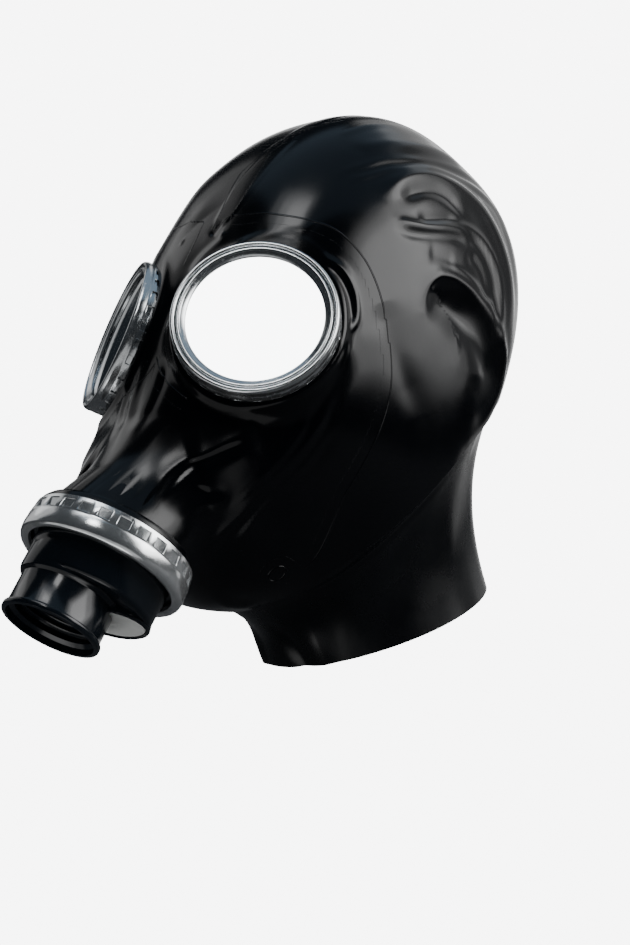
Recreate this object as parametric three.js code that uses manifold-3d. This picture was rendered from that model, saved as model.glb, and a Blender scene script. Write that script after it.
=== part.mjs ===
// A helmet-type rubber gas mask with round steel-rimmed eyepieces, a steel mouth ring,
// a plastic valve box and a thin rubber neck collar.
// Millimetres, +Z up, the face towards -Y, the wearer's left towards +X.
// The origin is inside the crown's top, where the wearer's head bears against the rubber.

import * as THREE from 'three';
import { mergeVertices } from 'three/addons/utils/BufferGeometryUtils.js';
import Module from 'manifold-3d';

const wasm = await Module();
wasm.setup();

// Walls and clearances
const HELMET_WALL = 2.0;
const COLLAR_WALL = 1.2;
const PART_GAP = 0.3;

// Helmet: one leaning rounded form for the skull, one for the jaw
const HEAD_WIDTH = 166;
const BROW_REACH = 105.8;
const NAPE_REACH = 80.1;
const CROWN_REACH = 136.4;
const THROAT_REACH = 130.2;
const HEAD_LEAN = 28.8;
const HEAD_MIDDLE_FORWARD = 28.2;
const HEAD_MIDDLE_DROP = 136.7;
const MIDDLE_FORWARD = 70;
const MIDDLE_DROP = 125;
const SIDE_FULLNESS = 2.68;
const DOME_FULLNESS = 2.39;
const JAW_WIDTH = 100;
const JAW_LENGTH = 118;
const JAW_DEPTH = 107;
const JAW_FORWARD = 107.3;
const JAW_DROP = 206.2;
const JAW_BLEND = 26;

// Helmet's lower edge: a straight rise from the throat that levels out at the nape
const EDGE_FRONT_FORWARD = 92;
const EDGE_FRONT_DROP = 258;
const EDGE_RISE_ANGLE = 42;
const EDGE_NAPE_DROP = 147;
const EDGE_BEND = 24;

// Eyepieces
const EYE_SPACING = 108.6;
const EYE_FORWARD = 128;
const EYE_DROP = 120;
const EYE_YAW = 41.5;
const RIGHT_EYE_YAW = 27;
const EYE_PITCH = 21.2;
const RIM_RADIUS = 41;
const RIM_DEPTH = 10;
const RIM_BAND = 5.3;
const RIM_WIDTH = 2.9;
const RIM_SHEET = 1.2;
const RIM_TABS = 28;
const TAB_RELIEF = 0.6;
const RETAINER_WIDTH = 4.3;
const RETAINER_LIP = 2.1;
const RETAINER_RECESS = 0.6;
const LENS_THICKNESS = 2.0;
const LENS_INSET = 3.3;
const EYE_SEAT_WIDTH = 7;
const EYE_SEAT_DEPTH = 10.4;
const EYE_BOSS_OVERHANG = 2.0;
const EYE_BOSS_SETBACK = 1.5;
const EYE_BOSS_DEPTH = 34;
const EYE_BOSS_BLEND = 10;

// Mouth ring and snout
const MOUTH_FORWARD = 178;
const MOUTH_DROP = 241.5;
const MOUTH_DIP = 57;
const MOUTH_RING_RADIUS = 42.4;
const MOUTH_RING_DEPTH = 17;
const MOUTH_RING_BAND = 9.6;
const MOUTH_RING_SHEET = 1.9;
const MOUTH_LIP_WIDTH = 5.2;
const MOUTH_LIP_THICKNESS = 3.5;
const MOUTH_LIP_ROUNDING = 1.3;
const MOUTH_LIP_CREST = 3.1;
const MOUTH_SKIRT_STEP = 0.4;
const MOUTH_WINDOWS = 26;
const WINDOW_HEIGHT = 5;
const WINDOW_RELIEF = 0.9;
const WINDOW_SHARE = 0.62;
const SNOUT_COLLAR_WALL = 2.0;
const SNOUT_FLANGE_WIDTH = 8.2;
const SNOUT_FLANGE_DEPTH = 5.7;
const SNOUT_SETBACK = 2;
const SNOUT_NECK_RADIUS = 31;
const SNOUT_LENGTH = 45;
const SNOUT_DROOP = 14;
const SNOUT_BLEND = 18;
const STUB_SETBACK = 9;
const STUB_INSET = 0.8;
const STUB_ROUNDING = 6;

// Valve box, measured along the mouth's axis from the ring's lip
const BASE_FRONT = 5;
const BASE_DEPTH = 10;
const DRUM_CLEARANCE = 3.2;
const DRUM_REACH = 16;
const DRUM_CHAMFER = 1.5;
const SHELL_WALL = 3;
const SOCKET_RADIUS = 23.8;
const SOCKET_OFFSET = 9;
const SOCKET_REACH = 38;
const SOCKET_FLANGE = 1.4;
const SOCKET_FLANGE_DEPTH = 3;
const SOCKET_BORE_RADIUS = 20.5;
const PORT_RADIUS = 18.3;
const PORT_BACKSET = 14.7;
const PORT_SIDE = 8.6;
const PORT_REACH = 20;
const PORT_YAW = 17;
const PORT_DIP = 65;
const PORT_DUCT_RADIUS = 11;
const DISC_RADIUS = 16;
const DISC_THICKNESS = 1.6;
const DISC_RECESS = 0.7;

// Neck collar: a waist, and a hem that flares below it
const COLLAR_OVERLAP = 1;
const NECK_WIDTH = 108;
const NECK_LENGTH = 118;
const NECK_FORWARD = 5;
const HEM_WIDTH = 114;
const HEM_LENGTH = 126;
const HEM_BACKWARD = 5;
const HEM_FRONT_DROP = 290;
const HEM_NAPE_DROP = 243;

// Folds pressed into the helmet's rubber. Turn and drop are degrees seen from the helmet's
// middle: turn from the face towards the wearer's left, drop from straight up. Width and
// lift are shares of the two sizes below, and dip is the share of the lift that the rubber
// sinks beside the crest.
const FOLD_WIDTH = 11;
const FOLD_LIFT = 4;
const FAR_SIDE_SHARE = 0.85;
const FOLD_RUN_IN = 0.25;
const FOLD_FADE = 4;
const TROUGH_OFFSET = 1.5;
const FOLDS = [
  { name: 'crown sweep', from: [90, 34], via: [124, 40], to: [147, 68], width: 0.9, lift: 0.7, dip: 0.6 },
  { name: 'crown pucker', from: [92, 32], via: [97, 29], to: [104, 27], width: 0.8, lift: 0.4, dip: 0.4 },
  { name: 'pucker top lip', from: [99, 48], via: [112, 41], to: [136, 53], width: 0.8, lift: 0.7, dip: 0.5 },
  { name: 'pucker low lip', from: [101, 50], via: [124, 60], to: [134, 88], width: 0.8, lift: 0.9, dip: 0.6 },
  { name: 'ear fold', from: [112, 68], via: [129, 78], to: [140, 106], width: 0.9, lift: 1.3, dip: 0.7 },
  { name: 'ear hollow', from: [108, 78], via: [111, 81], to: [115, 86], width: 1.5, lift: -1.0, dip: 0 },
  { name: 'temple crescent', from: [74, 64], via: [80, 76], to: [79, 91], width: 0.6, lift: 0.5, dip: 0.4 },
  { name: 'cheek fold', from: [71, 112], via: [48, 131], to: [30, 141], width: 0.8, lift: 1.0, dip: 0.5 },
  { name: 'low cheek fold', from: [67, 126], via: [51, 135], to: [31, 145], width: 0.8, lift: 0.7, dip: 0.5 },
  { name: 'snout pinch', from: [18, 128], via: [21, 125], to: [28, 123], width: 0.7, lift: 0.8, dip: 0.7 },
  { name: 'jaw fold', from: [22, 148], via: [30, 163], to: [48, 163], width: 0.8, lift: 0.6, dip: 0.5 },
];
const MIDLINE_DENTS = [
  { name: 'brow pinch', from: [0, 34], via: [0, 40], to: [0, 52], width: 0.8, lift: -0.5, dip: 0 },
  { name: 'nose crease', from: [0, 60], via: [0, 84], to: [0, 104], width: 0.9, lift: -0.6, dip: 0 },
];
// The rubber bulges beside the snout, further out on the wearer's right
const CHEEK_BULGES = [
  { name: 'left cheek bulge', from: [24, 126], via: [34, 126], to: [46, 124], width: 1.3, lift: 1.0, dip: 0 },
  { name: 'right cheek bulge', from: [-21, 127], via: [-31, 126], to: [-43, 123], width: 1.4, lift: 3.7, dip: 0 },
];

// Mesh fineness
const COLUMNS = 36;
const HELMET_ROWS = 20;
const COLLAR_ROWS = 3;
const SIDE_SPREAD = 0.2;
const SNOUT_CROWDING = 0.35;
const VALVE_SIDES = 24;
const PORT_SIDES = 20;
const FOLD_STEPS = 12;
const REACH_STRIDE = 5;
const HALVINGS = 16;
const EDGE_SEARCH_FROM = 60;
const EDGE_SEARCH_TO = 179;
const SLOPE_NUDGE = 0.02;
const STEEPEST_FACING = 0.5;
const MERGE_GAP = 1e-4;
const CUT_OVERRUN = 1;

const rubber = new THREE.MeshStandardMaterial({ color: 0x15171b, roughness: 0.42, metalness: 0 });
const latex = new THREE.MeshStandardMaterial({ color: 0x121419, roughness: 0.34, metalness: 0 });
const steel = new THREE.MeshStandardMaterial({ color: 0xb4b8ba, roughness: 0.26, metalness: 1 });
const plastic = new THREE.MeshStandardMaterial({ color: 0x0c0d0f, roughness: 0.16, metalness: 0 });
const mirror = new THREE.MeshStandardMaterial({ color: 0xe4e8ea, roughness: 0.04, metalness: 1 });
const paleRubber = new THREE.MeshStandardMaterial({ color: 0xc6c8c6, roughness: 0.55, metalness: 0 });

const radians = THREE.MathUtils.degToRad;
const vector = (x, y, z) => new THREE.Vector3(x, y, z);

// A point on an axis and the direction in which the axis leaves the mask. The rubber has
// shifted a little on the head, so the right eyepiece faces further forward than the left.
function eyeAxis(side) {
  const yaw = radians(side > 0 ? EYE_YAW : RIGHT_EYE_YAW);
  const pitch = radians(EYE_PITCH);
  return {
    origin: vector(side * EYE_SPACING / 2, -EYE_FORWARD, -EYE_DROP),
    out: vector(side * Math.sin(yaw) * Math.cos(pitch), -Math.cos(yaw) * Math.cos(pitch), Math.sin(pitch)),
  };
}

const mouthAxis = {
  origin: vector(0, -MOUTH_FORWARD, -MOUTH_DROP),
  out: vector(0, -Math.cos(radians(MOUTH_DIP)), -Math.sin(radians(MOUTH_DIP))),
};
// Square to the mouth's axis, towards the front and up
const mouthFront = vector(0, -Math.sin(radians(MOUTH_DIP)), Math.cos(radians(MOUTH_DIP)));

const eyeAxes = { left: eyeAxis(1), right: eyeAxis(-1) };

// The helmet's form is a field: negative inside the rubber's outer face, positive outside,
// and close to the distance in millimetres near that face.
function blend(a, b, size) {
  const share = THREE.MathUtils.clamp(0.5 + 0.5 * (b - a) / size, 0, 1);
  return b + (a - b) * share - size * share * (1 - share);
}

const blendCut = (a, b, size) => -blend(-a, -b, size);

function skullField(p) {
  const lean = radians(HEAD_LEAN);
  const y = p.y + HEAD_MIDDLE_FORWARD;
  const z = p.z + HEAD_MIDDLE_DROP;
  const across = Math.abs(p.x / (HEAD_WIDTH / 2));
  const forth = Math.cos(lean) * y - Math.sin(lean) * z;
  const up = Math.sin(lean) * y + Math.cos(lean) * z;
  const forthShare = Math.abs(forth / (forth < 0 ? BROW_REACH : NAPE_REACH));
  const upShare = Math.abs(up / (up > 0 ? CROWN_REACH : THROAT_REACH));
  const ringShare = (across ** SIDE_FULLNESS + forthShare ** SIDE_FULLNESS) ** (1 / SIDE_FULLNESS);
  const level = (ringShare ** DOME_FULLNESS + upShare ** DOME_FULLNESS) ** (1 / DOME_FULLNESS);
  return (1 - 1 / Math.max(level, 1e-6)) * Math.hypot(p.x, y, z);
}

function jawField(p) {
  const y = p.y + JAW_FORWARD;
  const z = p.z + JAW_DROP;
  const level = Math.hypot(p.x / (JAW_WIDTH / 2), y / (JAW_LENGTH / 2), z / (JAW_DEPTH / 2));
  return (1 - 1 / Math.max(level, 1e-6)) * Math.hypot(p.x, y, z);
}

// A round stub on an axis, from its outer end inwards. Its inner end may be narrower or
// wider, and may droop square to the axis. The field keeps inside the turned piece that is
// joined to the skin over it, and stops short of its end.
function stubField(p, axis, stub) {
  const offset = p.clone().sub(axis.origin);
  const s = offset.dot(axis.out);
  const share = (stub.end - s) / stub.length;
  offset.addScaledVector(axis.out, -s);
  if (stub.droop) offset.addScaledVector(mouthFront, stub.droop * share);
  const slope = (stub.innerRadius - stub.radius) / stub.length;
  const radius = stub.radius + slope * (stub.end - s) - STUB_INSET;
  const side = (offset.length() - radius) / Math.hypot(1, slope);
  const capped = blendCut(side, s - stub.end + STUB_SETBACK, STUB_ROUNDING);
  return blendCut(capped, stub.end - stub.length - s, HELMET_WALL);
}

const rimSkirtRadius = RIM_RADIUS - RIM_SHEET;
const eyeSeatRadius = rimSkirtRadius - PART_GAP;
const eyeBossRadius = RIM_RADIUS + EYE_BOSS_OVERHANG;
const eyeBossEnd = -RIM_DEPTH - EYE_BOSS_SETBACK;
const eyeStub = {
  end: eyeBossEnd,
  radius: eyeBossRadius,
  innerRadius: eyeBossRadius,
  length: EYE_BOSS_DEPTH,
};

const mouthLipRadius = MOUTH_RING_RADIUS - MOUTH_LIP_WIDTH;
const snoutCollarRadius = MOUTH_RING_RADIUS - MOUTH_RING_SHEET - PART_GAP;
const snoutStub = {
  end: -MOUTH_RING_DEPTH - SNOUT_SETBACK,
  radius: snoutCollarRadius - HELMET_WALL,
  innerRadius: SNOUT_NECK_RADIUS,
  length: SNOUT_LENGTH,
  droop: SNOUT_DROOP,
};

function helmetField(p) {
  let level = blend(skullField(p), jawField(p), JAW_BLEND);
  level = blend(level, stubField(p, mouthAxis, snoutStub), SNOUT_BLEND);
  level = blend(level, stubField(p, eyeAxes.left, eyeStub), EYE_BOSS_BLEND);
  return blend(level, stubField(p, eyeAxes.right, eyeStub), EYE_BOSS_BLEND);
}

// The helmet's middle, from which the rubber's outer face is seen once in each direction
const helmetMiddle = vector(0, -MIDDLE_FORWARD, -MIDDLE_DROP);

function direction(turn, drop) {
  const level = Math.sin(drop);
  return vector(level * Math.sin(turn), -level * Math.cos(turn), Math.cos(drop));
}

function reach(dir) {
  const at = (distance) => helmetField(helmetMiddle.clone().addScaledVector(dir, distance));
  let far = REACH_STRIDE;
  while (at(far) < 0) far += REACH_STRIDE;
  let near = far - REACH_STRIDE;
  for (let step = 0; step < HALVINGS; step += 1) {
    const middle = (near + far) / 2;
    if (at(middle) > 0) far = middle;
    else near = middle;
  }
  return (near + far) / 2;
}

// The crest of a fold as directions from the helmet's middle
function foldPath(fold, side) {
  const path = [];
  for (let step = 0; step <= FOLD_STEPS; step += 1) {
    const t = step / FOLD_STEPS;
    const weights = [(1 - t) * (1 - 2 * t), 4 * t * (1 - t), t * (2 * t - 1)];
    const along = (k) => weights[0] * fold.from[k] + weights[1] * fold.via[k] + weights[2] * fold.to[k];
    path.push(direction(radians(side * along(0)), radians(along(1))));
  }
  return path;
}

const foldRuns = [
  ...FOLDS.map((fold) => ({ fold, path: foldPath(fold, 1), share: 1 })),
  ...FOLDS.map((fold) => ({ fold, path: foldPath(fold, -1), share: FAR_SIDE_SHARE })),
  ...[...MIDLINE_DENTS, ...CHEEK_BULGES].map((fold) => ({ fold, path: foldPath(fold, 1), share: 1 })),
];

// How far a fold lifts the rubber in one direction
function foldLift(run, dir, distance) {
  const nearest = { gap: Infinity, along: 0, side: 1 };
  for (let k = 0; k < FOLD_STEPS; k += 1) {
    const step = run.path[k + 1].clone().sub(run.path[k]);
    const offset = dir.clone().sub(run.path[k]);
    const share = THREE.MathUtils.clamp(offset.dot(step) / step.lengthSq(), 0, 1);
    const gap = offset.clone().addScaledVector(step, -share).length();
    if (gap < nearest.gap) {
      nearest.gap = gap;
      nearest.along = (k + share) / FOLD_STEPS;
      nearest.side = Math.sign(step.cross(offset).dot(dir)) || 1;
    }
  }
  const width = run.fold.width * FOLD_WIDTH;
  const across = nearest.gap * distance / width;
  if (across > FOLD_FADE) return 0;
  const hand = nearest.side * Math.sign(run.path[0].x || 1);
  const crest = Math.exp(-across * across);
  const trough = Math.exp(-((hand * across - TROUGH_OFFSET) ** 2));
  const fromEnd = Math.min(nearest.along, 1 - nearest.along);
  const ends = THREE.MathUtils.smoothstep(fromEnd, -FOLD_RUN_IN / 2, FOLD_RUN_IN);
  return run.share * ends * run.fold.lift * FOLD_LIFT * (crest - run.fold.dip * trough);
}

function foldedReach(dir) {
  const plain = reach(dir);
  return foldRuns.reduce((sum, run) => sum + foldLift(run, dir, plain), plain);
}

function edgeHeight(y) {
  const rise = -EDGE_FRONT_DROP + (y + EDGE_FRONT_FORWARD) * Math.tan(radians(EDGE_RISE_ANGLE));
  return blend(rise, -EDGE_NAPE_DROP, EDGE_BEND);
}

// The drop at which the rubber ends, for each turn
function edgeDrop(turn) {
  let high = radians(EDGE_SEARCH_FROM);
  let low = radians(EDGE_SEARCH_TO);
  for (let step = 0; step < HALVINGS; step += 1) {
    const middle = (high + low) / 2;
    const dir = direction(turn, middle);
    const point = helmetMiddle.clone().addScaledVector(dir, reach(dir));
    if (point.z < edgeHeight(point.y)) low = middle;
    else high = middle;
  }
  return (high + low) / 2;
}

// The rubber's outer and inner faces, as rows of points from the crown to the lower edge
function helmetFaces() {
  const faces = { crown: null, outer: [], inner: [] };
  const columns = [];
  for (let c = 0; c < COLUMNS; c += 1) {
    const even = 2 * Math.PI * c / COLUMNS;
    const turn = even - SIDE_SPREAD * Math.sin(2 * even) / 2;
    columns.push({ turn, edge: edgeDrop(turn) });
  }
  const skin = (turn, drop) => {
    const dir = direction(turn, drop);
    return helmetMiddle.clone().addScaledVector(dir, foldedReach(dir));
  };
  for (let r = 1; r <= HELMET_ROWS; r += 1) {
    const even = r / HELMET_ROWS;
    const share = even + SNOUT_CROWDING * (1 - Math.cos(2 * Math.PI * even)) / (2 * Math.PI);
    const outerRow = [];
    const innerRow = [];
    for (const { turn, edge } of columns) {
      const drop = share * edge;
      const point = skin(turn, drop);
      const down = skin(turn, drop + SLOPE_NUDGE).sub(skin(turn, drop - SLOPE_NUDGE));
      const round = skin(turn + SLOPE_NUDGE, drop).sub(skin(turn - SLOPE_NUDGE, drop));
      const normal = down.cross(round).normalize();
      const ray = direction(turn, drop);
      const facing = Math.max(Math.abs(normal.dot(ray)), STEEPEST_FACING);
      outerRow.push(point);
      innerRow.push(point.clone().addScaledVector(ray, -HELMET_WALL / facing));
    }
    faces.outer.push(outerRow);
    faces.inner.push(innerRow);
  }
  const up = vector(0, 0, 1);
  const top = helmetMiddle.clone().addScaledVector(up, foldedReach(up));
  faces.crown = { outer: top, inner: top.clone().addScaledVector(up, -HELMET_WALL) };
  return faces;
}

// Triangles between rows of points, each row going round once
function stitchRows(rows, inwards, triangles) {
  for (let r = 0; r + 1 < rows.length; r += 1) {
    for (let c = 0; c < COLUMNS; c += 1) {
      const next = (c + 1) % COLUMNS;
      const corners = [rows[r][c], rows[r + 1][c], rows[r + 1][next], rows[r][next]];
      if (inwards) corners.reverse();
      const [a, b, opposite, d] = corners;
      if (a.distanceTo(opposite) < b.distanceTo(d)) triangles.push([a, b, opposite], [a, opposite, d]);
      else triangles.push([a, b, d], [b, opposite, d]);
    }
  }
}

function closeCrown(tip, row, inwards, triangles) {
  for (let c = 0; c < COLUMNS; c += 1) {
    const next = (c + 1) % COLUMNS;
    triangles.push(inwards ? [tip, row[next], row[c]] : [tip, row[c], row[next]]);
  }
}

function geometryOf(triangles) {
  const positions = triangles.flatMap((triangle) => triangle.flatMap((p) => [p.x, p.y, p.z]));
  const geometry = new THREE.BufferGeometry();
  geometry.setAttribute('position', new THREE.Float32BufferAttribute(positions, 3));
  return mergeVertices(geometry, MERGE_GAP);
}

// Solids: a closed geometry becomes a manifold solid, and back again
function solidOf(geometry) {
  const bare = geometry.clone();
  bare.deleteAttribute('normal');
  bare.deleteAttribute('uv');
  const merged = mergeVertices(bare, MERGE_GAP);
  const index = Array.from(merged.index.array);
  const kept = [];
  for (let k = 0; k < index.length; k += 3) {
    const [a, b, c] = index.slice(k, k + 3);
    if (a !== b && b !== c && a !== c) kept.push(a, b, c);
  }
  const mesh = new wasm.Mesh({
    numProp: 3,
    vertProperties: new Float32Array(merged.attributes.position.array),
    triVerts: new Uint32Array(kept),
  });
  return new wasm.Manifold(mesh);
}

function geometryOfSolid(solid) {
  const mesh = solid.getMesh();
  const geometry = new THREE.BufferGeometry();
  geometry.setAttribute('position', new THREE.Float32BufferAttribute(mesh.vertProperties, 3));
  geometry.setIndex(Array.from(mesh.triVerts));
  return geometry;
}

function namedMesh(name, geometry, material) {
  geometry.computeVertexNormals();
  const mesh = new THREE.Mesh(geometry, material);
  mesh.name = name;
  return mesh;
}

// The placing that takes a piece made round Y at the origin onto an axis
function axisFrame(axis) {
  const across = vector(axis.out.y, -axis.out.x, 0).normalize();
  const frame = new THREE.Matrix4().makeBasis(across, axis.out, across.clone().cross(axis.out));
  return frame.setPosition(axis.origin);
}

// A round piece on an axis. The profile is an outline of [radius, distance out] pairs,
// counter-clockwise with the radius to the right. It closes on itself unless it starts and
// ends on the axis.
function turned(axis, profile, sides) {
  const solidCore = profile[0][0] === 0 && profile.at(-1)[0] === 0;
  const outline = (solidCore ? profile : [...profile, profile[0]]).map(([r, s]) => new THREE.Vector2(r, s));
  const geometry = new THREE.LatheGeometry(outline, sides);
  return geometry.applyMatrix4(axisFrame(axis));
}

const rod = (axis, radius, from, to, sides) =>
  turned(axis, [[0, from], [radius, from], [radius, to], [0, to]], sides);

// Boxes set round an axis, each with one face at the given radius, to cut a row of recesses
function recesses(axis, count, radius, from, to, width) {
  const reachOut = 6;
  const frame = axisFrame(axis);
  const boxes = [];
  for (let k = 0; k < count; k += 1) {
    const box = new THREE.BoxGeometry(width, to - from, reachOut);
    box.translate(0, (from + to) / 2, radius + reachOut / 2);
    box.rotateY(2 * Math.PI * (k + 0.5) / count);
    boxes.push(solidOf(box.applyMatrix4(frame)));
  }
  return boxes;
}

// The eyepieces
function eyeClamp(axis) {
  const inner = RIM_RADIUS - RIM_WIDTH;
  const bead = RIM_WIDTH / 3;
  const band = turned(axis, [
    [inner, -RIM_BAND],
    [rimSkirtRadius, -RIM_BAND],
    [rimSkirtRadius, -RIM_DEPTH],
    [RIM_RADIUS, -RIM_DEPTH],
    [RIM_RADIUS, -2 * bead],
    [RIM_RADIUS - bead, 0],
    [inner, -bead],
  ], RIM_TABS);
  const skirtFace = RIM_RADIUS * Math.cos(Math.PI / RIM_TABS) - TAB_RELIEF;
  const width = Math.PI * RIM_RADIUS / RIM_TABS;
  let solid = solidOf(band);
  for (const box of recesses(axis, RIM_TABS, skirtFace, -RIM_DEPTH - CUT_OVERRUN, -RIM_BAND, width)) {
    solid = solid.subtract(box);
  }
  return geometryOfSolid(solid);
}

const retainerRadius = RIM_RADIUS - RIM_WIDTH - PART_GAP;
const lensRadius = retainerRadius - RETAINER_LIP - PART_GAP;
const eyeSeatTop = -Math.max(RIM_BAND, LENS_INSET + LENS_THICKNESS) - PART_GAP;

function eyeRetainer(axis) {
  const foot = eyeSeatTop + PART_GAP;
  return turned(axis, [
    [lensRadius + PART_GAP, foot],
    [retainerRadius, foot],
    [retainerRadius, -RETAINER_RECESS],
    [retainerRadius - RETAINER_WIDTH, PART_GAP - LENS_INSET],
    [lensRadius + PART_GAP, PART_GAP - LENS_INSET],
  ], RIM_TABS);
}

function lens(axis) {
  return rod(axis, lensRadius, -LENS_INSET - LENS_THICKNESS, -LENS_INSET, RIM_TABS);
}

// The mouth ring: a rounded band, a row of pressed windows and a lip turned in over the rubber
function mouthRing() {
  const inside = MOUTH_RING_RADIUS - MOUTH_RING_SHEET;
  const skirt = MOUTH_RING_RADIUS - MOUTH_SKIRT_STEP;
  const band = turned(mouthAxis, [
    [mouthLipRadius, -MOUTH_LIP_THICKNESS],
    [inside, -MOUTH_LIP_THICKNESS],
    [inside, -MOUTH_RING_DEPTH],
    [skirt, -MOUTH_RING_DEPTH],
    [skirt, -MOUTH_RING_BAND],
    [MOUTH_RING_RADIUS, -MOUTH_RING_BAND / 2],
    [MOUTH_RING_RADIUS - MOUTH_LIP_ROUNDING, -MOUTH_LIP_ROUNDING / 2],
    [MOUTH_RING_RADIUS - MOUTH_LIP_CREST, 0],
    [mouthLipRadius, -MOUTH_LIP_ROUNDING],
  ], MOUTH_WINDOWS);
  const face = skirt * Math.cos(Math.PI / MOUTH_WINDOWS) - WINDOW_RELIEF;
  const width = WINDOW_SHARE * 2 * Math.PI * MOUTH_RING_RADIUS / MOUTH_WINDOWS;
  const top = -MOUTH_RING_BAND - MOUTH_SKIRT_STEP;
  let solid = solidOf(band);
  for (const box of recesses(mouthAxis, MOUTH_WINDOWS, face, top - WINDOW_HEIGHT, top, width)) {
    solid = solid.subtract(box);
  }
  return geometryOfSolid(solid);
}

// The valve box: a drum seated in the snout, the inlet socket and the outlet port
const baseRadius = snoutCollarRadius - SNOUT_COLLAR_WALL - PART_GAP;
const baseBottom = -BASE_FRONT - BASE_DEPTH;
const drumRadius = mouthLipRadius - DRUM_CLEARANCE;
const socketAxis = {
  origin: mouthAxis.origin.clone().addScaledVector(mouthFront, SOCKET_OFFSET),
  out: mouthAxis.out,
};
const portAxis = {
  origin: mouthAxis.origin.clone()
    .addScaledVector(mouthAxis.out, PORT_REACH)
    .addScaledVector(mouthFront, -PORT_BACKSET)
    .add(vector(PORT_SIDE, 0, 0)),
  out: vector(
    Math.sin(radians(PORT_YAW)) * Math.cos(radians(PORT_DIP)),
    -Math.cos(radians(PORT_YAW)) * Math.cos(radians(PORT_DIP)),
    -Math.sin(radians(PORT_DIP)),
  ),
};

function valveBody() {
  const drum = turned(mouthAxis, [
    [0, baseBottom],
    [baseRadius, baseBottom],
    [baseRadius, -BASE_FRONT],
    [drumRadius, -BASE_FRONT],
    [drumRadius, DRUM_REACH - DRUM_CHAMFER],
    [drumRadius - DRUM_CHAMFER, DRUM_REACH],
    [0, DRUM_REACH],
  ], VALVE_SIDES);
  const socket = turned(socketAxis, [
    [0, 0],
    [SOCKET_RADIUS, 0],
    [SOCKET_RADIUS, SOCKET_REACH - SOCKET_FLANGE_DEPTH],
    [SOCKET_RADIUS + SOCKET_FLANGE, SOCKET_REACH - SOCKET_FLANGE_DEPTH],
    [SOCKET_RADIUS + SOCKET_FLANGE, SOCKET_REACH],
    [0, SOCKET_REACH],
  ], VALVE_SIDES);
  const port = rod(portAxis, PORT_RADIUS, SHELL_WALL - PORT_REACH, 0, PORT_SIDES);
  const roof = DRUM_REACH - SHELL_WALL;
  const discSeat = -DISC_RECESS - DISC_THICKNESS - PART_GAP;
  const hollow = rod(mouthAxis, drumRadius - SHELL_WALL, baseBottom - CUT_OVERRUN, roof, VALVE_SIDES);
  const bore = rod(socketAxis, SOCKET_BORE_RADIUS, roof - CUT_OVERRUN, SOCKET_REACH + CUT_OVERRUN, VALVE_SIDES);
  const counterbore = rod(portAxis, DISC_RADIUS + PART_GAP, discSeat, CUT_OVERRUN, PORT_SIDES);
  const duct = rod(portAxis, PORT_DUCT_RADIUS, -PORT_REACH, 0, PORT_SIDES);
  const body = solidOf(drum).add(solidOf(socket)).add(solidOf(port))
    .subtract(solidOf(hollow)).subtract(solidOf(bore))
    .subtract(solidOf(counterbore)).subtract(solidOf(duct));
  return geometryOfSolid(body);
}

function exhaleDisc() {
  return rod(portAxis, DISC_RADIUS, -DISC_RECESS - DISC_THICKNESS, -DISC_RECESS, PORT_SIDES);
}

// One face of the skin as a closed solid. The inner face runs on past the lower edge.
function skinSolid(tip, rows) {
  const triangles = [];
  stitchRows(rows, false, triangles);
  closeCrown(tip, rows[0], false, triangles);
  const last = rows.at(-1);
  const middle = last.reduce((sum, p) => sum.add(p), vector(0, 0, 0)).divideScalar(last.length);
  closeCrown(middle, last, true, triangles);
  return solidOf(geometryOf(triangles));
}

// The snout as a drooping cone, its radius less an inset
function snoutCone(inset, from, to) {
  const radiusAt = (s) => {
    const share = (snoutStub.end - s) / snoutStub.length;
    return THREE.MathUtils.lerp(snoutStub.radius, snoutStub.innerRadius, share) - inset;
  };
  const profile = [[0, from], [radiusAt(from), from], [radiusAt(to), to], [0, to]];
  const cone = turned(mouthAxis, profile, MOUTH_WINDOWS);
  const corners = cone.attributes.position;
  for (let k = 0; k < corners.count; k += 1) {
    const p = new THREE.Vector3().fromBufferAttribute(corners, k);
    const s = p.clone().sub(mouthAxis.origin).dot(mouthAxis.out);
    p.addScaledVector(mouthFront, -snoutStub.droop * (snoutStub.end - s) / snoutStub.length);
    corners.setXYZ(k, p.x, p.y, p.z);
  }
  return solidOf(cone);
}

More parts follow.
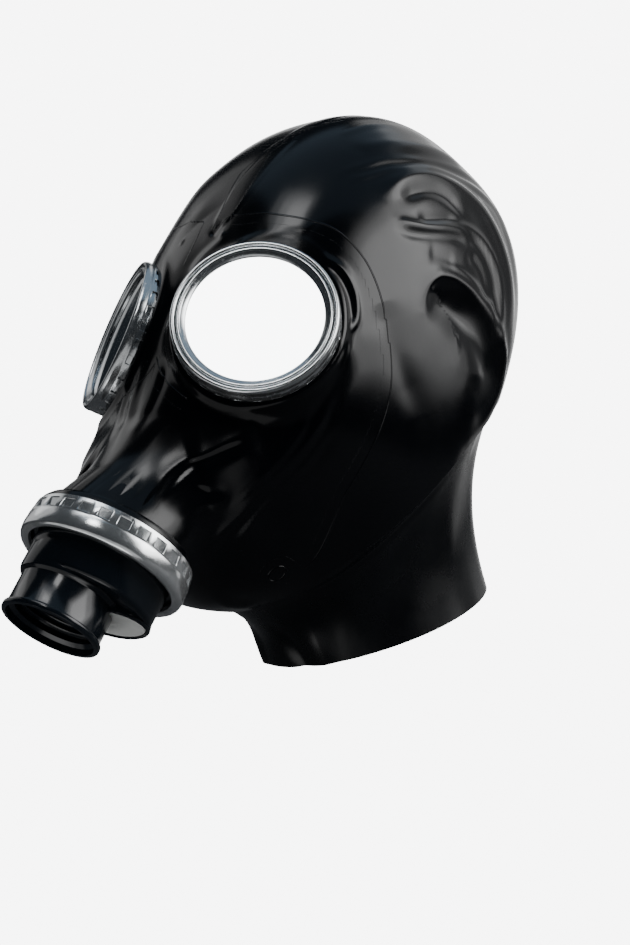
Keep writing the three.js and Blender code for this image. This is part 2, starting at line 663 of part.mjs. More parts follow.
// The helmet: the folded skin with its eye bosses and snout, hollowed, then the eye seats and
// the snout's collar with their bores
function helmet(faces) {
  const past = vector(0, Math.sin(radians(EDGE_RISE_ANGLE)), -Math.cos(radians(EDGE_RISE_ANGLE)));
  const pastEdge = faces.inner.at(-1).map((p) => p.clone().addScaledVector(past, 4 * HELMET_WALL));
  const far = MOUTH_RING_RADIUS;
  const snoutFoot = snoutStub.end - snoutStub.length;
  let outside = skinSolid(faces.crown.outer, faces.outer)
    .add(snoutCone(0, snoutFoot, snoutStub.end));
  let inside = skinSolid(faces.crown.inner, [...faces.inner, pastEdge])
    .add(snoutCone(HELMET_WALL, snoutFoot, snoutStub.end - HELMET_WALL));
  for (const axis of Object.values(eyeAxes)) {
    const bossFoot = eyeBossEnd - EYE_BOSS_DEPTH;
    outside = outside.add(solidOf(rod(axis, eyeBossRadius, bossFoot, eyeBossEnd, RIM_TABS)));
    inside = inside.add(solidOf(
      rod(axis, eyeBossRadius - HELMET_WALL, bossFoot - HELMET_WALL, eyeBossEnd - HELMET_WALL, RIM_TABS),
    ));
  }
  let solid = outside.subtract(inside);

  for (const axis of Object.values(eyeAxes)) {
    const clear = rod(axis, RIM_RADIUS + PART_GAP, -RIM_DEPTH - PART_GAP, far, RIM_TABS);
    const seat = turned(axis, [
      [eyeSeatRadius - EYE_SEAT_WIDTH, eyeSeatTop - EYE_SEAT_DEPTH],
      [eyeSeatRadius, eyeSeatTop - EYE_SEAT_DEPTH],
      [eyeSeatRadius, eyeSeatTop],
      [eyeSeatRadius - EYE_SEAT_WIDTH, eyeSeatTop],
    ], RIM_TABS);
    const bore = rod(axis, eyeSeatRadius - EYE_SEAT_WIDTH, -EYE_BOSS_DEPTH, far, RIM_TABS);
    solid = solid.subtract(solidOf(clear)).add(solidOf(seat)).subtract(solidOf(bore));
  }

  const ringFoot = -MOUTH_RING_DEPTH - PART_GAP;
  const ringClear = rod(mouthAxis, MOUTH_RING_RADIUS + PART_GAP, ringFoot, far, MOUTH_WINDOWS);
  const flangeTop = baseBottom - PART_GAP;
  const flangeInner = snoutCollarRadius - SNOUT_COLLAR_WALL - SNOUT_FLANGE_WIDTH;
  const collarTop = -MOUTH_LIP_THICKNESS - PART_GAP;
  const snoutCollar = turned(mouthAxis, [
    [flangeInner, flangeTop - SNOUT_FLANGE_DEPTH],
    [snoutCollarRadius, flangeTop - SNOUT_FLANGE_DEPTH],
    [snoutCollarRadius, collarTop],
    [snoutCollarRadius - SNOUT_COLLAR_WALL, collarTop],
    [snoutCollarRadius - SNOUT_COLLAR_WALL, flangeTop],
    [flangeInner, flangeTop],
  ], MOUTH_WINDOWS);
  const airway = rod(mouthAxis, flangeInner, flangeTop - 2 * SNOUT_FLANGE_DEPTH, far, MOUTH_WINDOWS);
  solid = solid.subtract(solidOf(ringClear)).add(solidOf(snoutCollar)).subtract(solidOf(airway));
  return geometryOfSolid(solid);
}

// The collar lies inside the helmet's lower edge, draws in to the neck and flares to its hem
function collarRows(faces) {
  const rows = [];
  for (let back = COLLAR_OVERLAP; back >= 0; back -= 1) {
    const inner = faces.inner.at(-1 - back);
    const outer = faces.outer.at(-1 - back);
    rows.push(inner.map((p, c) => {
      const inwards = p.clone().sub(outer[c]).normalize();
      return p.clone().addScaledVector(inwards, PART_GAP);
    }));
  }
  const top = rows.at(-1);
  for (let r = 1; r <= COLLAR_ROWS; r += 1) {
    const share = r / COLLAR_ROWS;
    const helmetPull = (1 - share) ** 3;
    const flare = share ** 3;
    const width = THREE.MathUtils.lerp(NECK_WIDTH, HEM_WIDTH, flare) / 2;
    const length = THREE.MathUtils.lerp(NECK_LENGTH, HEM_LENGTH, flare) / 2;
    const middle = THREE.MathUtils.lerp(-NECK_FORWARD, HEM_BACKWARD, flare);
    rows.push(top.map((p) => {
      const turn = Math.atan2(p.x, -(p.y + NECK_FORWARD));
      const hem = -THREE.MathUtils.lerp(HEM_FRONT_DROP, HEM_NAPE_DROP, (1 - Math.cos(turn)) / 2);
      const x = width * Math.sin(turn);
      const y = middle - length * Math.cos(turn);
      return vector(
        THREE.MathUtils.lerp(x, p.x, helmetPull),
        THREE.MathUtils.lerp(y, p.y, helmetPull),
        THREE.MathUtils.lerp(p.z, hem, share),
      );
    }));
  }
  return rows;
}

// A second face behind a face of rows, one wall away along the normals
function wallBehind(rows, wall) {
  return rows.map((row, r) => row.map((p, c) => {
    const above = rows[Math.max(r - 1, 0)][c];
    const below = rows[Math.min(r + 1, rows.length - 1)][c];
    const before = row[(c + COLUMNS - 1) % COLUMNS];
    const after = row[(c + 1) % COLUMNS];
    const normal = below.clone().sub(above).cross(after.clone().sub(before)).normalize();
    return p.clone().addScaledVector(normal, -wall);
  }));
}

function neckCollar(faces) {
  const outer = collarRows(faces);
  const inner = wallBehind(outer, COLLAR_WALL);
  const triangles = [];
  stitchRows(outer, false, triangles);
  stitchRows(inner, true, triangles);
  stitchRows([outer.at(-1), inner.at(-1)], false, triangles);
  stitchRows([inner[0], outer[0]], false, triangles);
  return geometryOf(triangles);
}

const faces = helmetFaces();
const mask = new THREE.Group();
mask.add(namedMesh('helmet', helmet(faces), rubber));
mask.add(namedMesh('neck_collar', neckCollar(faces), latex));
for (const [side, axis] of Object.entries(eyeAxes)) {
  mask.add(namedMesh(`eye_clamp_${side}`, eyeClamp(axis), steel));
  mask.add(namedMesh(`eye_retainer_${side}`, eyeRetainer(axis), steel));
  mask.add(namedMesh(`lens_${side}`, lens(axis), mirror));
}
mask.add(namedMesh('mouth_ring', mouthRing(), steel));
mask.add(namedMesh('valve_body', valveBody(), plastic));
mask.add(namedMesh('exhale_disc', exhaleDisc(), paleRubber));

export default mask;
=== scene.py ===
# %% [markdown]
# # A gas mask style costume mask
# The mask is a moulded rubber hood over the whole head, with steel-rimmed eyepieces, a steel
# mouth ring, a plastic valve box and a thin rubber sleeve round the neck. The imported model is
# the frame: every new piece stands in the place of one of its nodes.

# %% Load the frame
import math
import bpy
import numpy as np
from mathutils import Matrix, Vector


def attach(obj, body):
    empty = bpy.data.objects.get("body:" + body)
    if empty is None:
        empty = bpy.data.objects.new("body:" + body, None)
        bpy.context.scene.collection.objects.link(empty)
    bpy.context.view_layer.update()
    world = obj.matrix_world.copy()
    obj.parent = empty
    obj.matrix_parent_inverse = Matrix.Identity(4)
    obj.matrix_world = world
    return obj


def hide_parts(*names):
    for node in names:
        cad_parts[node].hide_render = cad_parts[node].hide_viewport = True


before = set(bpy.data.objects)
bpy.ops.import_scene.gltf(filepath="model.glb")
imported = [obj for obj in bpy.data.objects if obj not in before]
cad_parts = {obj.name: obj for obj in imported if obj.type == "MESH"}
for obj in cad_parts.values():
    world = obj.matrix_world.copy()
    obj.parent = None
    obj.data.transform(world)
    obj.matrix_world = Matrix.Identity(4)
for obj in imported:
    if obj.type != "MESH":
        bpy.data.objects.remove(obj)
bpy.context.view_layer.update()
MM = 0.001

# %% [markdown]
# ## Camera
# A long lens from the mask's left front, a little below the level of the eyes and looking
# slightly up. It is placed by its own numbers, so nothing has to be aimed by hand.

# %% Camera
CAMERA_PLACE = (0.7969, -0.7811, -0.2430)
CAMERA_AZIMUTH, CAMERA_ELEVATION = 47.0, -2.8
camera_data = bpy.data.cameras.new("camera")
camera_data.sensor_fit = "VERTICAL"
camera_data.sensor_height = 36.0
camera_data.lens = 80.0
camera = bpy.data.objects.new("camera", camera_data)
bpy.context.scene.collection.objects.link(camera)


def heading(azimuth, elevation):
    """A direction by its angle from the face towards the wearer's left, and its angle upwards."""
    level = math.cos(elevation)
    return math.sin(azimuth) * level, -math.cos(azimuth) * level, math.sin(elevation)


view_back = Vector(heading(math.radians(CAMERA_AZIMUTH), math.radians(CAMERA_ELEVATION)))
camera.location = CAMERA_PLACE
camera.rotation_euler = (-view_back).to_track_quat("-Z", "Y").to_euler()
bpy.context.scene.camera = camera
print("camera at", CAMERA_PLACE)

# %% [markdown]
# ## Light
# Black rubber shows hardly anything but reflections, so the light is made of a few soft boxes. A
# soft box is brighter in its middle, so the large ones are two or three panels, one in front of
# another: a strip overhead and a big one behind the mask's left side, which draws the grey sheen
# on the temple. One small box is placed where the near pane mirrors it. The rest are dim walls
# behind and beside the mask, a dim ceiling, and a faint light from below. The backdrop and the
# floor glow for the camera alone, so that they look pale but don't light the rubber.

# %% Studio
def panel(name, place, aim, size, brightness):
    """An area light whose brightness is its radiance."""
    data = bpy.data.lights.new(name, "AREA")
    data.shape = "RECTANGLE"
    data.size, data.size_y = size
    data.energy = brightness * math.pi * size[0] * size[1]
    light = bpy.data.objects.new(name, data)
    light.location = place
    light.rotation_euler = (Vector(aim) - Vector(place)).to_track_quat("-Z", "Y").to_euler()
    bpy.context.scene.collection.objects.link(light)
    return light


HEAD = Vector((0.0, -0.06, -0.13))


def panel_towards(name, azimuth, elevation, distance, size, brightness):
    """A panel that the head sees in one direction: azimuth from the face to its left, in degrees."""
    away = Vector(heading(math.radians(azimuth), math.radians(elevation)))
    return panel(name, HEAD + away * distance, HEAD, size, brightness)


# name, azimuth, elevation, distance in metres, size in metres, radiance
SOFT_BOXES = [
    ("temple_core", 118, 25, 1.48, (0.86, 0.62), 3.1),
    ("temple_middle", 119, 23, 1.50, (1.16, 1.02), 2.4),
    ("temple_rim", 121, 23.5, 1.52, (1.52, 1.28), 1.3),
    ("overhead_core", 22, 64, 0.96, (0.24, 0.12), 3.6),
    ("overhead_middle", 14, 64, 0.98, (0.36, 0.22), 2.4),
    ("overhead_rim", 10, 63, 1.00, (0.56, 0.36), 1.2),
    ("pane_box", 31.3, 46.7, 1.44, (0.29, 0.27), 9.0),
    ("ceiling", 150, 84, 1.9, (2.6, 2.6), 0.36),
    ("back_wall", 172, 30, 2.45, (3.9, 2.6), 0.34),
    ("back_core", 192, 30, 2.4, (1.9, 2.3), 0.5),
    ("far_wall", -78, 26, 1.9, (1.5, 1.5), 0.5),
    ("far_core", -84, 32, 1.88, (0.6, 0.7), 0.6),
    ("far_low", -124, 12, 2.0, (0.82, 1.0), 0.5),
]
# The same, for panels that would stand in the camera's view
UNSEEN_BOXES = [
    ("floor_bounce", 2, -52, 0.42, (0.34, 0.14), 1.7),
    ("floor_glow", 12, -50, 0.44, (0.9, 0.5), 0.5),
    ("low_back", 180, -10, 1.6, (0.9, 0.34), 0.8),
    ("far_back", -140, 8, 2.3, (1.5, 1.8), 0.8),
]
CEILING_COLOUR = (0.55, 0.76, 1.0)
for box in SOFT_BOXES:
    panel_towards(*box)
bpy.data.objects["ceiling"].data.color = CEILING_COLOUR
for box in UNSEEN_BOXES:
    panel_towards(*box).visible_camera = False
print("lights:", len(SOFT_BOXES) + len(UNSEEN_BOXES))

# %% Backdrop and floor
SURROUND_COLOUR, SURROUND_STRENGTH = (0.62, 0.80, 1.0, 1), 0.02
BACKDROP_COLOUR, FLOOR_COLOUR, GLOW_STRENGTH = (0.975, 0.978, 0.98, 1), (0.965, 0.968, 0.97, 1), 7.6
FLOOR_HEIGHT, FLOOR_SIZE = -0.47, 14


def camera_sees(tree, plain, seen, end):
    """Links one shader for the camera's own rays and another for all other rays."""
    path, choose = tree.nodes.new("ShaderNodeLightPath"), tree.nodes.new("ShaderNodeMixShader")
    tree.links.new(path.outputs["Is Camera Ray"], choose.inputs["Fac"])
    tree.links.new(plain.outputs[0], choose.inputs[1])
    tree.links.new(seen.outputs[0], choose.inputs[2])
    tree.links.new(choose.outputs[0], tree.nodes[end].inputs["Surface"])


world = bpy.data.worlds.new("studio")
bpy.context.scene.world = world
world.use_nodes = True
world_nodes = world.node_tree.nodes
surround = world_nodes["Background"]
surround.inputs["Color"].default_value = SURROUND_COLOUR
surround.inputs["Strength"].default_value = SURROUND_STRENGTH
backdrop = world_nodes.new("ShaderNodeBackground")
backdrop.inputs["Color"].default_value = BACKDROP_COLOUR
backdrop.inputs["Strength"].default_value = GLOW_STRENGTH
camera_sees(world.node_tree, surround, backdrop, "World Output")

bpy.ops.object.select_all(action="DESELECT")
bpy.ops.mesh.primitive_plane_add(size=FLOOR_SIZE, location=(0, 0, FLOOR_HEIGHT))
floor = bpy.context.object
floor.name = "floor"
floor_paint = bpy.data.materials.new("floor_paint")
floor_paint.use_nodes = True
paint_nodes = floor_paint.node_tree.nodes
matt = paint_nodes["Principled BSDF"]
matt.inputs["Base Color"].default_value = (0.05, 0.052, 0.055, 1)
matt.inputs["Roughness"].default_value = 0.9
glow = paint_nodes.new("ShaderNodeEmission")
glow.inputs["Color"].default_value = FLOOR_COLOUR
glow.inputs["Strength"].default_value = GLOW_STRENGTH
camera_sees(floor_paint.node_tree, matt, glow, "Material Output")
floor.data.materials.append(floor_paint)
print("floor at", FLOOR_HEIGHT)

# %% [markdown]
# ## Finishes
# Each finish starts from the same shader and gets its colour, gloss and fine relief from noise
# in object coordinates, so that it needs no picture and no unwrapping.

# %% Material helpers
class Finish:
    """A material with a Principled shader and short ways to add nodes to it."""

    def __init__(self, name, **sockets):
        self.material = bpy.data.materials.new(name)
        self.material.use_nodes = True
        self.nodes = self.material.node_tree.nodes
        self.links = self.material.node_tree.links
        self.shader = self.nodes["Principled BSDF"]
        for socket, value in sockets.items():
            self.shader.inputs[socket.replace("_", " ")].default_value = value
        self.place = self.nodes.new("ShaderNodeTexCoord").outputs["Object"]
        self.relief = None

    def set(self, node, socket, value):
        if hasattr(value, "is_linked"):
            self.links.new(value, node.inputs[socket])
        else:
            node.inputs[socket].default_value = value

    def noise(self, scale, detail=3.0, roughness=0.55, stretch=None):
        node = self.nodes.new("ShaderNodeTexNoise")
        source = self.place
        if stretch:
            mapping = self.nodes.new("ShaderNodeMapping")
            mapping.inputs["Scale"].default_value = stretch
            self.links.new(self.place, mapping.inputs["Vector"])
            source = mapping.outputs["Vector"]
        self.links.new(source, node.inputs["Vector"])
        for socket, value in (("Scale", scale), ("Detail", detail), ("Roughness", roughness)):
            node.inputs[socket].default_value = value
        return node.outputs["Fac"]

    def spread(self, value, low, high, from_low=0.0, from_high=1.0, smooth=False):
        node = self.nodes.new("ShaderNodeMapRange")
        if smooth:
            node.interpolation_type = "SMOOTHSTEP"
        self.links.new(value, node.inputs["Value"])
        ends = {"From Min": from_low, "From Max": from_high, "To Min": low, "To Max": high}
        for socket, number in ends.items():
            node.inputs[socket].default_value = number
        return node.outputs["Result"]

    def math(self, operation, a, b=0.0):
        node = self.nodes.new("ShaderNodeMath")
        node.operation = operation
        self.set(node, 0, a)
        self.set(node, 1, b)
        return node.outputs[0]

    def tint(self, value, dark, light):
        node = self.nodes.new("ShaderNodeMix")
        node.data_type = "RGBA"
        self.links.new(value, node.inputs[0])
        for socket, colour in ((6, dark), (7, light)):
            if hasattr(colour, "is_linked"):
                self.links.new(colour, node.inputs[socket])
            else:
                node.inputs[socket].default_value = (*colour, 1)
        return node.outputs[2]

    def attribute(self, name):
        node = self.nodes.new("ShaderNodeAttribute")
        node.attribute_name = name
        return node.outputs["Fac"]

    def bump(self, height, depth_mm, strength=1.0):
        node = self.nodes.new("ShaderNodeBump")
        node.inputs["Strength"].default_value = strength
        node.inputs["Distance"].default_value = depth_mm * MM
        self.links.new(height, node.inputs["Height"])
        if self.relief:
            self.links.new(self.relief, node.inputs["Normal"])
        self.relief = node.outputs["Normal"]
        self.links.new(self.relief, self.shader.inputs["Normal"])

    def colour(self, pattern, dark, light):
        self.links.new(self.tint(pattern, dark, light), self.shader.inputs["Base Color"])

    def gloss(self, roughness):
        self.links.new(roughness, self.shader.inputs["Roughness"])


def paint(obj, finish):
    """Gives an object one finish on all its faces."""
    obj.data.materials.clear()
    obj.data.materials.append(finish.material)


print("helpers ready")

# %% Rubber finishes
moulded_rubber = Finish("moulded_rubber", IOR=1.37)
clouds = moulded_rubber.noise(14.0, 4.0)
moulded_rubber.colour(clouds, (0.0008, 0.0011, 0.0018), (0.0015, 0.0021, 0.0032))
satin = moulded_rubber.spread(moulded_rubber.noise(38.0, 5.0, 0.6), 0.13, 0.20, 0.3, 0.7)
smudge = moulded_rubber.spread(moulded_rubber.noise(7.0, 2.0), -0.02, 0.04, 0.35, 0.65)
moulded_rubber.gloss(moulded_rubber.math("ADD", satin, smudge))
moulded_rubber.bump(moulded_rubber.noise(40.0, 1.0), 0.16, 0.5)
moulded_rubber.bump(moulded_rubber.noise(900.0, 2.0), 0.010, 0.5)
line_gap = moulded_rubber.math("ABSOLUTE", moulded_rubber.attribute("line_offset"))
line_core = moulded_rubber.spread(line_gap, 1.0, 0.0, 0.10, 0.55, smooth=True)
line = moulded_rubber.math("MULTIPLY", line_core, moulded_rubber.attribute("line_fade"))
moulded_rubber.bump(line, 0.45, 1.0)

thin_rubber = Finish("thin_rubber", IOR=1.37)
clouds = thin_rubber.noise(18.0, 4.0)
thin_rubber.colour(clouds, (0.0010, 0.0014, 0.0021), (0.0019, 0.0026, 0.0038))
thin_rubber.gloss(thin_rubber.spread(thin_rubber.noise(30.0, 5.0, 0.6), 0.20, 0.32, 0.3, 0.7))
thin_rubber.bump(thin_rubber.noise(40.0, 3.0, stretch=(1.0, 1.0, 0.35)), 0.6, 0.6)
thin_rubber.bump(thin_rubber.noise(700.0, 2.0), 0.02, 0.6)
print("rubber finishes:", moulded_rubber.material.name, thin_rubber.material.name)

# %% Metal, mirror and plastic finishes
plated_steel = Finish("plated_steel", Metallic=0.94)
wear = plated_steel.noise(120.0, 6.0, 0.7)
plated_steel.colour(wear, (0.55, 0.57, 0.58), (0.80, 0.82, 0.83))
plated_steel.gloss(plated_steel.spread(plated_steel.noise(260.0, 6.0, 0.75), 0.12, 0.30, 0.3, 0.7))
plated_steel.bump(plated_steel.noise(160.0, 4.0, 0.6), 0.08, 0.6)

zinc_steel = Finish("zinc_steel", Metallic=0.88)
mottle = zinc_steel.noise(150.0, 6.0, 0.75)
patches = zinc_steel.spread(zinc_steel.noise(24.0, 4.0, 0.5), 0.0, 1.0, 0.36, 0.6, smooth=True)
dull = zinc_steel.tint(mottle, (0.46, 0.49, 0.50), (0.74, 0.77, 0.78))
bright = zinc_steel.tint(mottle, (0.88, 0.90, 0.905), (0.97, 0.975, 0.98))
zinc_steel.colour(patches, dull, bright)
zinc_steel.gloss(zinc_steel.spread(zinc_steel.noise(210.0, 7.0, 0.8), 0.12, 0.24, 0.3, 0.7))
zinc_steel.bump(zinc_steel.noise(90.0, 4.0, 0.6), 0.10, 0.5)

pane_mirror = Finish("pane_mirror", Metallic=1.0)
pane_mirror.colour(pane_mirror.noise(20.0), (0.90, 0.92, 0.93), (0.96, 0.97, 0.975))
pane_mirror.gloss(pane_mirror.spread(pane_mirror.noise(60.0, 4.0), 0.02, 0.06, 0.3, 0.7))

black_plastic = Finish("black_plastic", IOR=1.46)
flow = black_plastic.noise(30.0, 3.0)
black_plastic.colour(flow, (0.0034, 0.0054, 0.0082), (0.0052, 0.0080, 0.0115))
black_plastic.gloss(black_plastic.spread(black_plastic.noise(180.0, 6.0, 0.7), 0.11, 0.19, 0.3, 0.75))
black_plastic.bump(black_plastic.noise(45.0, 2.0), 0.12, 0.4)

pale_rubber = Finish("pale_rubber", IOR=1.48)
dust = pale_rubber.noise(140.0, 5.0)
pale_rubber.colour(dust, (0.66, 0.67, 0.65), (0.80, 0.81, 0.79))
pale_rubber.gloss(pale_rubber.spread(pale_rubber.noise(200.0), 0.42, 0.6))
pale_rubber.bump(pale_rubber.noise(500.0), 0.03, 0.5)
print("finishes:", len(bpy.data.materials))

# %% [markdown]
# ## The helmet's form
# The hood is one rounded form for the skull, melted into one for the jaw, with stubs for the
# eyepieces and the snout. Edit mode has no tool that melts solids together this softly, so the
# form is a field that says how far any point is from the rubber's outer face, and the mesh is
# found by looking outwards from the middle of the head. All sizes are millimetres here.

# %% Sizes shared by the pieces
HELMET_WALL, COLLAR_WALL, PART_GAP = 2.0, 1.2, 0.3
HEAD_WIDTH, BROW_REACH, NAPE_REACH, CROWN_REACH, THROAT_REACH = 166, 105.8, 80.1, 136.4, 130.2
HEAD_LEAN, HEAD_MIDDLE_FORWARD, HEAD_MIDDLE_DROP = math.radians(28.8), 28.2, 136.7
SIDE_FULLNESS, DOME_FULLNESS = 2.68, 2.39
JAW_SIZE, JAW_FORWARD, JAW_DROP, JAW_BLEND = (100, 118, 107), 107.3, 206.2, 26
MIDDLE = np.array([0.0, -70.0, -125.0])
EYE_YAW, RIGHT_EYE_YAW, EYE_PITCH = math.radians(41.5), math.radians(27), math.radians(21.2)
RIM_RADIUS, RIM_DEPTH = 41.0, 10.0
MOUTH_DIP, MOUTH_RING_DEPTH = math.radians(57), 17.0


class Axis:
    """A point and the direction in which a round piece leaves the mask."""

    def __init__(self, origin, out):
        self.origin = np.array(origin, float)
        self.out = np.array(out, float)

    def matrix(self):
        """Takes a piece that was made round Z at the origin, in metres, onto the axis."""
        face = Vector(self.out).to_track_quat("Z", "Y").to_matrix().to_4x4()
        return Matrix.Translation(Vector(self.origin * MM)) @ face


def eye_axis(side):
    """The rubber has shifted on the head, so the right eyepiece faces further forward."""
    yaw = EYE_YAW if side > 0 else RIGHT_EYE_YAW
    return Axis((side * 54.3, -128, -120), heading(side * yaw, EYE_PITCH))


eye_axes = {"left": eye_axis(1), "right": eye_axis(-1)}
mouth_axis = Axis((0, -178, -241.5), heading(0, -MOUTH_DIP))
mouth_front = np.array([0, -math.sin(MOUTH_DIP), math.cos(MOUTH_DIP)])
print("eye axis:", eye_axes["left"].out.round(3), "mouth axis:", mouth_axis.out.round(3))

# %% The field
def hill(value, middle, width):
    """A hump of height 1 round the middle."""
    return np.exp(-((value - middle) / width) ** 2)


def blend(a, b, size):
    share = np.clip(0.5 + 0.5 * (b - a) / size, 0, 1)
    return b + (a - b) * share - size * share * (1 - share)


def skull(p):
    y, z = p[..., 1] + HEAD_MIDDLE_FORWARD, p[..., 2] + HEAD_MIDDLE_DROP
    forth = math.cos(HEAD_LEAN) * y - math.sin(HEAD_LEAN) * z
    up = math.sin(HEAD_LEAN) * y + math.cos(HEAD_LEAN) * z
    across = np.abs(p[..., 0] / (HEAD_WIDTH / 2))
    forth = np.abs(forth / np.where(forth < 0, BROW_REACH, NAPE_REACH))
    up = np.abs(up / np.where(up > 0, CROWN_REACH, THROAT_REACH))
    ring = (across ** SIDE_FULLNESS + forth ** SIDE_FULLNESS) ** (1 / SIDE_FULLNESS)
    level = (ring ** DOME_FULLNESS + up ** DOME_FULLNESS) ** (1 / DOME_FULLNESS)
    return (1 - 1 / np.maximum(level, 1e-6)) * np.sqrt(p[..., 0] ** 2 + y ** 2 + z ** 2)


def jaw(p):
    offset = p + np.array([0, JAW_FORWARD, JAW_DROP])
    level = np.linalg.norm(offset / (np.array(JAW_SIZE) / 2), axis=-1)
    return (1 - 1 / np.maximum(level, 1e-6)) * np.linalg.norm(offset, axis=-1)


def stub(p, axis, end, radius, inner_radius, length, droop, rounding):
    offset = p - axis.origin
    s = offset @ axis.out
    offset = offset - s[..., None] * axis.out
    offset = offset + (droop * (end - s) / length)[..., None] * mouth_front
    slope = (inner_radius - radius) / length
    side = (np.linalg.norm(offset, axis=-1) - radius - slope * (end - s)) / math.hypot(1, slope)
    capped = -blend(-side, end - s, rounding)
    return -blend(-capped, s - end + length, HELMET_WALL)


def form(p):
    level = blend(skull(p), jaw(p), JAW_BLEND)
    level = blend(level, stub(p, mouth_axis, -MOUTH_RING_DEPTH + 1, 38.2, 31.0, 45, 14, 2), 18)
    for axis in eye_axes.values():
        level = blend(level, stub(p, axis, -RIM_DEPTH - 1.2, 42.6, 43.0, 34, 0, 2.5), 9)
    return level


def direction(turn, drop):
    level = np.sin(drop)
    return np.stack([level * np.sin(turn), -level * np.cos(turn), np.cos(drop)], -1)


def reach(rays):
    """How far out the form is along each ray from the middle."""
    far = np.full(rays.shape[:-1], 5.0)
    for _ in range(46):
        inside = form(MIDDLE + rays * far[..., None]) < 0
        if not inside.any():
            break
        far = np.where(inside, far + 5, far)
    near = far - 5
    for _ in range(14):
        middle = (near + far) / 2
        outside = form(MIDDLE + rays * middle[..., None]) > 0
        far, near = np.where(outside, middle, far), np.where(outside, near, middle)
    return (near + far) / 2


print("reach to the crown:", reach(direction(np.zeros(1), np.zeros(1))).round(1))

# %% The lower edge
def edge_height(y):
    return blend(-258 + (y + 92) * math.tan(math.radians(42)), -147 + 0 * y, 24)


def edge_drop(turn):
    high, low = np.full(turn.shape, math.radians(60)), np.full(turn.shape, math.radians(179))
    for _ in range(16):
        middle = (high + low) / 2
        rays = direction(turn, middle)
        point = MIDDLE + rays * reach(rays)[..., None]
        past = point[..., 2] < edge_height(point[..., 1])
        low, high = np.where(past, middle, low), np.where(past, high, middle)
    return (high + low) / 2


print("edge drop, front and back:", np.degrees(edge_drop(np.array([0.0, math.pi]))).round(1))

# %% [markdown]
# ## Folds, dents and mould lines
# The hood is pulled over a head that is smaller than it is at the back, so the rubber puckers
# above the ear and creases down the cheek to the mouth ring. Each fold is a smooth line over the
# form, given as a few stations of turn and drop in degrees, seen from the middle of the head. The
# rubber rises along the line and sinks beside it.

